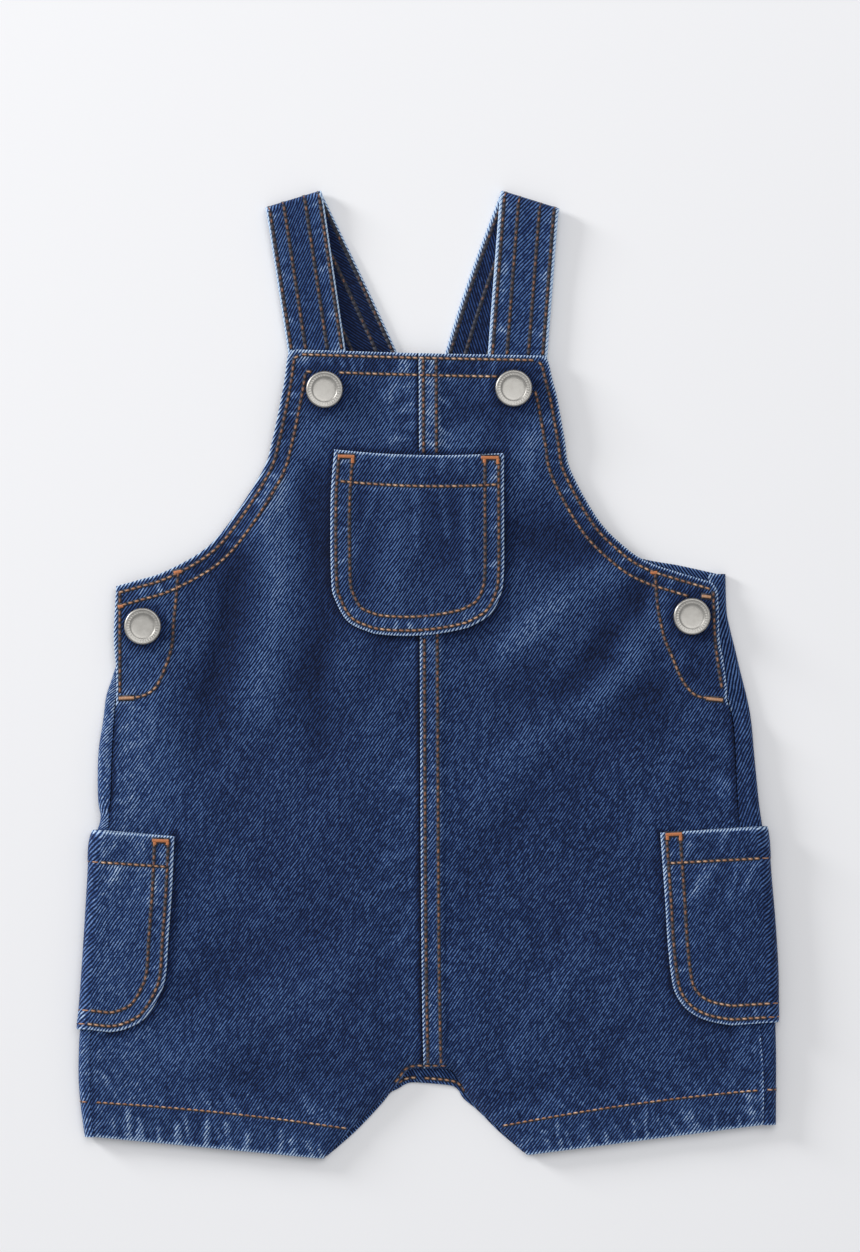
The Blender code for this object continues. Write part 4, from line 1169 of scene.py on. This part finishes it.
STITCH_POINTS, STITCH_HIGHLIGHT_AND_SHADE, STITCH_FACES = stitch_template()
BED_POINTS = np.array([(a, b, c) for a in (-0.5, 0.5) for b in (-0.5, 0.5) for c in (-0.5, 0.5)])
BED_FACES = np.array(((0, 1, 3, 2), (4, 6, 7, 5), (0, 4, 5, 1), (2, 3, 7, 6), (0, 2, 6, 4),
                      (1, 5, 7, 3)))


def tree_of(*pieces):
    """A search tree over the pieces' faces, in millimetres of the cut's axes."""
    points, polygons, done = [], [], 0
    for piece in pieces:
        mesh = piece.data
        co = np.zeros(len(mesh.vertices) * 3)
        mesh.vertices.foreach_get("co", co)
        corners = np.zeros(len(mesh.loops), np.int32)
        mesh.loops.foreach_get("vertex_index", corners)
        points.append(co.reshape(-1, 3) / MM + (*MIDDLE, 0.0))
        polygons.append(corners.reshape(-1, 4) + done)
        done += len(mesh.vertices)
    return BVHTree.FromPolygons(np.concatenate(points).tolist(), np.concatenate(polygons).tolist())


def drop_on(tree, x, y, below=False):
    """The point and the normal where a plumb line first meets the cloth."""
    start = Vector((x, y, -PLUMB if below else PLUMB))
    return tree.ray_cast(start, Vector((0.0, 0.0, 1.0 if below else -1.0)))[:2]


def stitch_spans(line):
    """Starts and ends of the stitches along a polyline."""
    total = lengths(line)[-1]
    count = max(1, int(total / STITCH_PITCH))
    middles = (np.arange(count) + 0.5) / count
    half = 0.5 * STITCH_LENGTH / total
    return zip(walk(line, middles - half), walk(line, middles + half))


def under_a_cap(x, y):
    return any(away < CAP_RADIUS + CAP_CLEAR for away, _ in from_studs(x, y))


class Sewing:
    """Collects the stitches of one piece and the dark strips of painted shade in the grooves they
    lie in, then makes one mesh.
    """

    def __init__(self, kind, side, trees):
        self.piece, self.side = (f"{kind}_{side}" if side else kind), side
        self.tree, self.whole = trees[self.piece], trees["whole"]
        self.random = np.random.default_rng(SEEDS[kind] + (side == "right"))
        self.parts = []

    def add(self, start, end, normal, thread=THREAD, tone=None, darker=0.0):
        """One stitch between two points on the cloth, and a dark strip of painted shade for its
        groove.
        """
        start, end, normal = (np.asarray(v, float) for v in (start, end, normal))
        length = np.linalg.norm(end - start)
        if length < SHORTEST_STITCH:
            return
        run = (end - start) / length
        up = normal - run * np.dot(normal, run)
        up = up / np.linalg.norm(up)
        side = np.cross(up, run)
        if up[2] < -0.5:
            thread = UNDER_THREAD
        if tone is None:
            # rows that run across are painted paler, a highlight where the light from above falls
            # on them more
            tone = -0.03 - darker + 0.36 * abs(run[0]) + 0.40 * (self.random.random() - 0.5)
        # a dark strip of painted shade for the groove under each stitch
        groove_shade = np.full(len(BED_POINTS), GROOVE_SHADE_TONE)
        for points, faces, tones, sizes in (
                (STITCH_POINTS, STITCH_FACES, tone + STITCH_HIGHLIGHT_AND_SHADE, (length, thread, thread)),
                (BED_POINTS, BED_FACES, groove_shade, (STITCH_PITCH, BED_WIDTH, 2 * BED_HEIGHT))):
            axes = np.stack([run, side, up]) * np.array(sizes)[:, None]
            self.parts.append((0.5 * (start + end) + points @ axes, faces, tones))

    def row(self, line, below=False):
        """Stitches along a line, where this piece is the outermost cloth."""
        if len(line) < 2:
            return
        for a, b in stitch_spans(line):
            middle = 0.5 * (a + b)
            (start, _), (end, _), (own, normal) = (drop_on(self.tree, *p, below)
                                                   for p in (a, b, middle))
            missed = start is None or end is None or own is None
            if missed or (not below and under_a_cap(*middle)):
                continue
            seen, _ = drop_on(self.whole, *middle, below)
            if abs(seen.z - own.z) < SAME_FACE:
                self.add(start, end, normal)

    def round_side(self, row, out):
        """Stitches along a row that goes round the side, `out` from the back's cloth."""
        for a, b in stitch_spans(row):
            (start, normal), (end, other) = (self.wrapped_point(*p, out) for p in (a, b))
            if start is not None and end is not None and (start - end).length < LONGEST_STITCH:
                self.add(start, end, normal + other)

    def wrapped_point(self, across, up, out):
        """Where a point that is `across` from the centre, measured round the side, lies."""
        bend_x = bend_start(self.side, up)
        if across < bend_x - 0.3:
            return drop_on(self.tree, SIGN[self.side] * across, up)
        if across > bend_x + WRAP + 0.3:
            return drop_on(self.tree, SIGN[self.side] * (2 * bend_x + WRAP - across), up, True)
        turn = min(max((across - bend_x) / WRAP, 0.0), 1.0)
        return self.tree.find_nearest(Vector(bend(self.side, up, turn, out)))[:2]

    def tack(self, x0, y0, x1, y1, tone=TACK_TONE):
        """A bartack: threads side by side across a short line."""
        start, end = np.array((x0, y0), float), np.array((x1, y1), float)
        length = np.hypot(*(end - start))
        run = (end - start) / length
        across = np.array([-run[1], run[0]]) * TACK_WIDTH / 2
        for t in np.arange(0.0, length, TACK_PITCH):
            middle = start + run * t
            (near, normal), (far, _) = (drop_on(self.tree, *p)
                                        for p in (middle - across, middle + across))
            if near is not None and far is not None:
                self.add(near, far, normal, TACK_THREAD, tone)

    def mesh(self):
        """The piece's bartacks, and then the mesh."""
        for bar in BARTACKS.get(self.piece, ()):
            self.tack(*bar)
        points, tones = (np.concatenate([part[i] for part in self.parts]) for i in (0, 2))
        starts = np.concatenate([[0], np.cumsum([len(part[0]) for part in self.parts])[:-1]])
        faces = np.concatenate([part[1] + start for part, start in zip(self.parts, starts)])
        return add_mesh(f"{self.piece}_stitching", points, [faces], "topstitch", {"tone": tones})


def hem_line(side):
    """The row along which the front's hem is sewn."""
    _, stitch_y, _, share, bow = ROW_LEVELS[side]
    inner = walk(curve(INSEAM[side]), [share])[0]
    outer = np.array((x_at(SIDE_EDGE[side], stitch_y), stitch_y))
    t = np.linspace(0.0, 1.0, 50)[1:-1, None]
    line = inner + (outer - inner) * t
    line[:, 1] += 4 * bow * t[:, 0] * (1 - t[:, 0])
    return line


def sew_front(side, trees):
    sewing = Sewing("front", side, trees)
    middle = (SIGN[side] * 45.0, 150.0)
    lines = front_edges(side)
    for top_by, edge_by, foot in zip(TOP_ROWS, EDGE_ROWS, ARMHOLE_ROWS_FOOT):
        row = inset(walk(lines["top"], np.linspace(0, 1, 80)), top_by, middle)
        sewing.row(clear_of(row, lines["armhole"], edge_by))
        row = clear_of(inset(lines["armhole"], edge_by, middle), lines["top"], top_by)
        sewing.row(row[row[:, 1] > foot])
    for line in PLACKET[side].values():
        sewing.row(curve(line))
    sewing.row(hem_line(side))
    inseam = inset(lines["inseam"], INSEAM_ROW, (SIGN[side] * 60.0, 20.0))
    sewing.row(inseam[abs(inseam[:, 0]) < INSEAM_ROW_REACH])
    if side == "right":
        y = np.linspace(291.5, 2.0, 60)
        for by in EDGE_ROWS:
            sewing.row(np.column_stack([seam_x(y) + by - 1.0, y]))
    return sewing.mesh()


def sew_back(side, trees):
    sewing = Sewing("back", side, trees)
    sign = SIGN[side]
    inseam = curve(BACK_INSEAM[side])
    corner_x, corner_y = BACK_ARMHOLE[side][0]
    for by in EDGE_ROWS:
        row = inset(curve(BACK_ARMHOLE[side]), by, (sign * 20.0, 190.0))
        sewing.row(row[(row[:, 1] > 150) & (row[:, 1] < 270.5)], below=True)
    for y in (corner_y - by for by in TOP_ROWS):
        sewing.row([(sign * 0.8, y), (corner_x - sign * 2.0, y)], below=True)
    if side == "right":
        for x in (by - 1.0 for by in EDGE_ROWS):
            sewing.row([(x, corner_y - 1.5), (x, -4.0)], below=True)
    middle = (sign * 60.0, 120.0)
    sewing.row(inset(inseam, BACK_INSEAM_ROW, middle), below=True)
    strip = inset(inseam, BACK_STRIP_ROW, middle)
    sewing.row(strip[abs(strip[:, 0]) < BACK_STRIP_REACH])
    _, stitch_y, _, share, _ = ROW_LEVELS[side]
    bend_x = bend_start(side, stitch_y)
    inner_x, inner_y = walk(inseam, [share])[0]
    hem = [(abs(x_at(SIDE_EDGE[side], stitch_y)) + 1.2, stitch_y), (bend_x + WRAP, stitch_y),
           (2 * bend_x + WRAP - abs(inner_x) - 1.5, inner_y)]
    sewing.round_side(hem, ROUND_OUT)
    return sewing.mesh()


def sew_bib_pocket(trees):
    sewing = Sewing("bib_pocket", "", trees)
    mouth, sewn = bib_pocket_edges()
    for by in BIB_POCKET_ROWS:
        sewing.row(clear_of(inset(sewn, by, (0.0, 215.0)), mouth, 1.5))
    hem = inset(mouth, MOUTH_HEM, (0.0, 200.0))
    sewing.row(hem[(hem[:, 0] > -34.0) & (hem[:, 0] < 31.5)])
    return sewing.mesh()


def sew_side_pocket(side, trees):
    sewing = Sewing("side_pocket", side, trees)
    mouth, sewn = side_pocket_edge(side)
    middle = (np.mean(sewn[:, 0]), 60.0)
    rows = [clear_of(inset(sewn, by, middle), mouth, 1.8) for by in SIDE_POCKET_ROWS]
    for row in (*rows, clear_of(inset(mouth, MOUTH_HEM, middle), sewn, 2.6)):
        sewing.round_side(row, GAP + CLOTH + ROUND_OUT)
    return sewing.mesh()


def between(at, places, points):
    """The point at a place, from points that stand at rising places."""
    return np.array([np.interp(at, places, points[:, i]) for i in range(3)])


def sew_strap(side, trees):
    """Four rows of stitches along the faces of a strap that aren't under the bib."""
    sewing = Sewing("strap", side, trees)
    outer, inner, _, width = strap_grids(side)
    columns = (STRAP_ACROSS - 0.5) * width
    bib_top = ARMHOLE[side][0][1] - 0.8
    for faces in ((outer, inner), (inner, outer)):
        for across in STRAP_ROWS:
            row, away = (np.array([between(across, columns, line) for line in grid])
                         for grid in faces)
            run = lengths(row)
            for at in np.arange(0.5 * STITCH_PITCH, run[-1] - STITCH_PITCH, STITCH_PITCH):
                start, end = (between(at + d, run, row)
                              for d in (-STITCH_LENGTH / 2, STITCH_LENGTH / 2))
                on_top = faces[0] is outer and start[1] > bib_top
                if on_top or start[2] < STRAP + 0.1:
                    normal = between(at, run, row - away)
                    # sewing on the back legs and underneath is painted darker, as shade
                    sewing.add(start, end, normal, STRAP_THREAD, darker=STRAP_DARKER[int(on_top)])
    return sewing.mesh()


# ---- press studs ----
def make_cap(place):
    """A stud's cap, turned, with a plain milled ring round its dished middle."""
    x, y, pad = STUDS[place]
    foot = pad + CLOTH + GAP
    steps = MILLED_TEETH * 6
    angles = np.arange(steps) * 2 * math.pi / steps
    tooth = 0.5 + 0.5 * np.cos(MILLED_TEETH * angles)
    share, height, milled = (column[:, None] for column in np.array(CAP_PROFILE).T)
    radius = share * CAP_RADIUS
    rings = np.stack([x + radius * np.cos(angles), y + radius * np.sin(angles),
                      foot + height * CAP_HEIGHT - MILLING * milled * tooth], -1).reshape(-1, 3)
    points = np.concatenate([rings, [(x, y, foot + CAP_DISH * CAP_HEIGHT), (x, y, foot)]])
    index = np.arange(len(rings)).reshape(-1, steps)
    after = np.roll(index, -1, 1)
    quads = np.stack([index[:-1], index[1:], after[1:], after[:-1]], -1).reshape(-1, 4)
    crown = np.full(steps, len(rings))
    fan = np.stack([crown, index[0], after[0]], -1)
    base = np.stack([crown + 1, after[-1], index[-1]], -1)
    piece = add_mesh(f"stud_cap_{place}_metal", points, [quads, fan, base], "press_stud", {})
    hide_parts(f"stud_cap_{place}")


# ---- materials ----
class Value:
    """A shader node's output, which adds, subtracts and multiplies as a number does."""

    def __init__(self, nodes, socket):
        self.nodes, self.socket = nodes, socket

    def __add__(self, other):
        return self.nodes.math("ADD", self, other)

    def __radd__(self, other):
        return self.nodes.math("ADD", other, self)

    def __sub__(self, other):
        return self.nodes.math("SUBTRACT", self, other)

    def __rsub__(self, other):
        return self.nodes.math("SUBTRACT", other, self)

    def __mul__(self, other):
        return self.nodes.math("MULTIPLY", self, other)


class Nodes:
    """Short ways to add and join shader nodes."""

    def __init__(self, name):
        self.material = bpy.data.materials.new(name)
        self.material.use_nodes = True
        self.tree = self.material.node_tree
        self.shader = self.tree.nodes["Principled BSDF"]

    def join(self, value, socket):
        if isinstance(value, Value):
            self.tree.links.new(value.socket, socket)
        else:
            socket.default_value = value

    def node(self, kind, inputs, output=0, **settings):
        """A node with its settings, its inputs by number or name, and its output."""
        made = self.tree.nodes.new(f"ShaderNode{kind}")
        for name, setting in settings.items():
            setattr(made, name, setting)
        for key, value in inputs.items():
            self.join(value, made.inputs[key])
        return Value(self, made.outputs[output])

    def math(self, operation, *values):
        return self.node("Math", dict(enumerate(values)), operation=operation)

    def limited(self, value, most=1.0):
        return self.math("MINIMUM", self.math("MAXIMUM", value, 0.0), most)

    def arch(self, value):
        """0 at each whole number, and 1 half-way between."""
        return self.math("SINE", self.math("FRACT", value) * math.pi)

    def ramp(self, value, start, end):
        """0 below start, 1 above end, and a soft ramp between."""
        inputs = dict(enumerate((value, start, end, 0.0, 1.0)))
        return self.node("MapRange", inputs, interpolation_type="SMOOTHSTEP")

    def attribute(self, name, output="Fac"):
        return self.node("Attribute", {}, output, attribute_name=name)

    def place(self, scale):
        """The object's own coordinates, in metres, times a scale."""
        own = self.node("TexCoord", {}, "Object")
        return self.node("VectorMath", {0: own, "Scale": scale}, operation="SCALE")

    def vector(self, x, y, z):
        return self.node("CombineXYZ", {0: x, 1: y, 2: z})

    def noise(self, where, detail=2.0, rough=0.5):
        inputs = {"Vector": where, "Scale": 1.0, "Detail": detail, "Roughness": rough}
        return self.node("TexNoise", inputs, "Fac")

    def speck(self, where):
        return self.node("TexWhiteNoise", {"Vector": where}, "Value")

    def colours(self, value, stops):
        made = self.tree.nodes.new("ShaderNodeValToRGB")
        ramp = made.color_ramp
        (first, first_colour), *middle, (last, last_colour) = stops
        ramp.elements[0].position, ramp.elements[-1].position = first, last
        ramp.elements[0].color, ramp.elements[-1].color = (*first_colour, 1.0), (*last_colour, 1.0)
        for at, colour in middle:
            ramp.elements.new(at).color = (*colour, 1.0)
        self.join(value, made.inputs[0])
        return Value(self, made.outputs[0])

    def finish(self, colour, rough, height=None, distance_mm=0.0, strength=1.0, **others):
        """Joins the shader's inputs; spaces in the others' names are written as underscores."""
        if height is not None:
            bump = {"Strength": strength, "Distance": distance_mm * MM, "Height": height}
            others["Normal"] = self.node("Bump", bump)
        for name, value in {"Base_Color": colour, "Roughness": rough, **others}.items():
            self.join(value, self.shader.inputs[name.replace("_", " ")])
        return self.material


def denim(name, fade):
    """Indigo twill, pale from wear on its edges and high spots, and with the painted light and
    shade that its wear attribute also carries.
    """
    n = Nodes(name)
    parts = n.tree.nodes.new("ShaderNodeSeparateXYZ")
    n.join(n.attribute("flat", "Vector"), parts.inputs[0])
    u, v, sheet = (Value(n, socket) for socket in parts.outputs)

    def cloth_noise(along_u, along_v, *detail):
        return n.noise(n.vector(u * along_u, v * along_v, sheet), *detail)

    across_u, across_v = math.sin(TWILL_LEAN) / TWILL_WIDTH, -math.cos(TWILL_LEAN) / TWILL_WIDTH
    line = u * across_u + v * across_v + cloth_noise(0.07, 0.07) * 1.2
    number = n.math("FLOOR", line)
    ridge = n.math("POWER", n.arch(line), TWILL_SHARP)
    along_u, along_v = math.cos(TWILL_LEAN) / DASH_LENGTH, math.sin(TWILL_LEAN) / DASH_LENGTH
    dash = u * along_u + v * along_v + n.speck(n.vector(number, sheet, 3.0))
    chance = n.speck(n.vector(number, n.math("FLOOR", dash), sheet))
    uneven = (chance - 0.5) * DASH_CONTRAST * n.ramp(n.arch(dash), 0.0, 0.5) * ridge
    noises = [cloth_noise(along_u, along_v, *detail) for along_u, along_v, detail, _ in NOISES]
    slub, _, grain = noises
    patches = n.ramp(cloth_noise(0.16, 0.12), 0.35, 0.70)
    clear = TWILL_CLEAR + patches * TWILL_CLEAR_PATCHES
    clear = clear + n.ramp(v, 110.0, 190.0) * TWILL_CLEAR_BIB
    # the wear attribute carries painted light and shade as well as wear
    wear_and_shade = n.attribute("wear") * (0.25 + (ridge * 0.6 + grain * 0.7))
    faded = uneven + fade + (ridge - TWILL_MEAN) * clear
    for noise, (*_, strength) in zip(noises, NOISES):
        faded = faded + (noise - 0.5) * strength
    faded = n.limited(n.limited(faded, UNWORN_PALEST) + wear_and_shade * WEAR_AND_SHADE_STRENGTH)
    return n.finish(n.colours(faded, INDIGO), 0.96 - ridge * 0.10,
                    ridge * 0.6 + slub * 0.5 + grain * 0.35, 0.22, 0.8,
                    Specular_IOR_Level=0.15, Sheen_Weight=0.12, Sheen_Roughness=0.5,
                    Sheen_Tint=(0.75, 0.82, 1.0, 1.0))


def thread(name):
    """Orange, rust and tan sewing thread, and the painted shade of the groove it lies in."""
    n = Nodes(name)
    fibre = n.noise(n.place(2600.0), 3.0, 0.6)
    tone = n.attribute("tone") + (fibre - 0.5) * 0.7
    rows = n.math("MINIMUM", n.limited(0.2 + tone * 0.8), ROW_PALEST)
    tacks = n.ramp(n.attribute("tone"), 0.95, 1.05) * (0.91 + fibre * 0.18)
    return n.finish(n.colours(n.math("MAXIMUM", rows, tacks), THREADS), 0.50 + fibre * 0.25,
                    fibre, 0.06, Sheen_Weight=0.2)


def nickel(name):
    """Brushed and slightly tarnished nickel."""
    n = Nodes(name)
    stain = n.noise(n.place(420.0), 4.0, 0.6)
    return n.finish(n.colours(stain, NICKEL), 0.34 + stain * 0.16, stain, 0.01, 0.4, Metallic=1.0)


def paper(name):
    """The pale surface that the garment lies on."""
    n = Nodes(name)
    mottle = n.noise(n.place(1.0), 2.0)
    return n.finish(n.colours(mottle, PAPER), 0.85 + mottle * 0.1)


MATERIALS = {
    "denim": denim("denim_cloth", 0.265),
    "strap_denim": denim("denim_strap", 0.33),
    "topstitch": thread("orange_thread"),
    "press_stud": nickel("nickel_stud"),
}


# ---- stage ----
def put(name, data, location):
    """An object of the data, in the scene at its place."""
    made = bpy.data.objects.new(name, data)
    made.location = location
    bpy.context.scene.collection.objects.link(made)
    return made


def make_stage():
    mesh = bpy.data.meshes.new("surface")
    far = FLOOR_REACH
    corners = [(-far, -far, 0), (far, -far, 0), (far, far, 0), (-far, far, 0)]
    mesh.from_pydata(corners, [], [(0, 1, 2, 3)])
    mesh.materials.append(paper("pale_paper"))
    floor = put("surface", mesh, (0.0, 0.0, -0.1 * MM))
    world = bpy.data.worlds.new("pale_sky")
    world.use_nodes = True
    background = world.node_tree.nodes["Background"].inputs
    background["Color"].default_value, background["Strength"].default_value = SKY
    bpy.context.scene.world = world
    for name, x, y, z, width, watts in LIGHTS:
        lamp = bpy.data.lights.new(name, "AREA")
        lamp.shape, lamp.size, lamp.energy = "DISK", width, watts
        to_middle = Vector((-x, -y, -z)).to_track_quat("-Z", "Y")
        put(name, lamp, (x, y, z)).rotation_euler = to_middle.to_euler()


def make_camera():
    """Straight above, as far off as its lens needs to take in the picture's height."""
    camera = bpy.data.cameras.new("camera")
    camera.lens, camera.sensor_width = CAMERA_LENS, SENSOR
    away = CAMERA_LENS / SENSOR * IMAGE[1] * PIXEL + PLANE_HEIGHT
    scene = bpy.context.scene
    scene.camera = put("camera", camera, (CAMERA_AT[0] * MM, CAMERA_AT[1] * MM, away * MM))
    scene.view_settings.view_transform = "Standard"


# ---- the garment ----
def main():
    make_camera()
    make_stage()
    cloth, sewing = {}, {}
    for side in SIDES:
        for kind, make in (("front", make_front), ("back", make_back), ("underlap", make_underlap),
                           ("side_pocket", make_side_pocket), ("strap", make_strap)):
            cloth[f"{kind}_{side}"] = make(side)
    cloth["bib_pocket"] = make_bib_pocket()
    trees = {name: tree_of(piece) for name, piece in cloth.items()}
    trees["whole"] = tree_of(*cloth.values())
    for side in SIDES:
        for kind, sew in (("front", sew_front), ("back", sew_back),
                          ("side_pocket", sew_side_pocket), ("strap", sew_strap)):
            sewing[f"{kind}_{side}"] = sew(side, trees)
    sewing["bib_pocket"] = sew_bib_pocket(trees)
    for place in STUDS:
        make_cap(place)
        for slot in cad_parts[f"stud_base_{place}"].material_slots:
            slot.material = MATERIALS["press_stud"]
    for name, (flat, held, area) in CUTS.items():
        extra = [sewing[name]] if name in sewing else []


main()
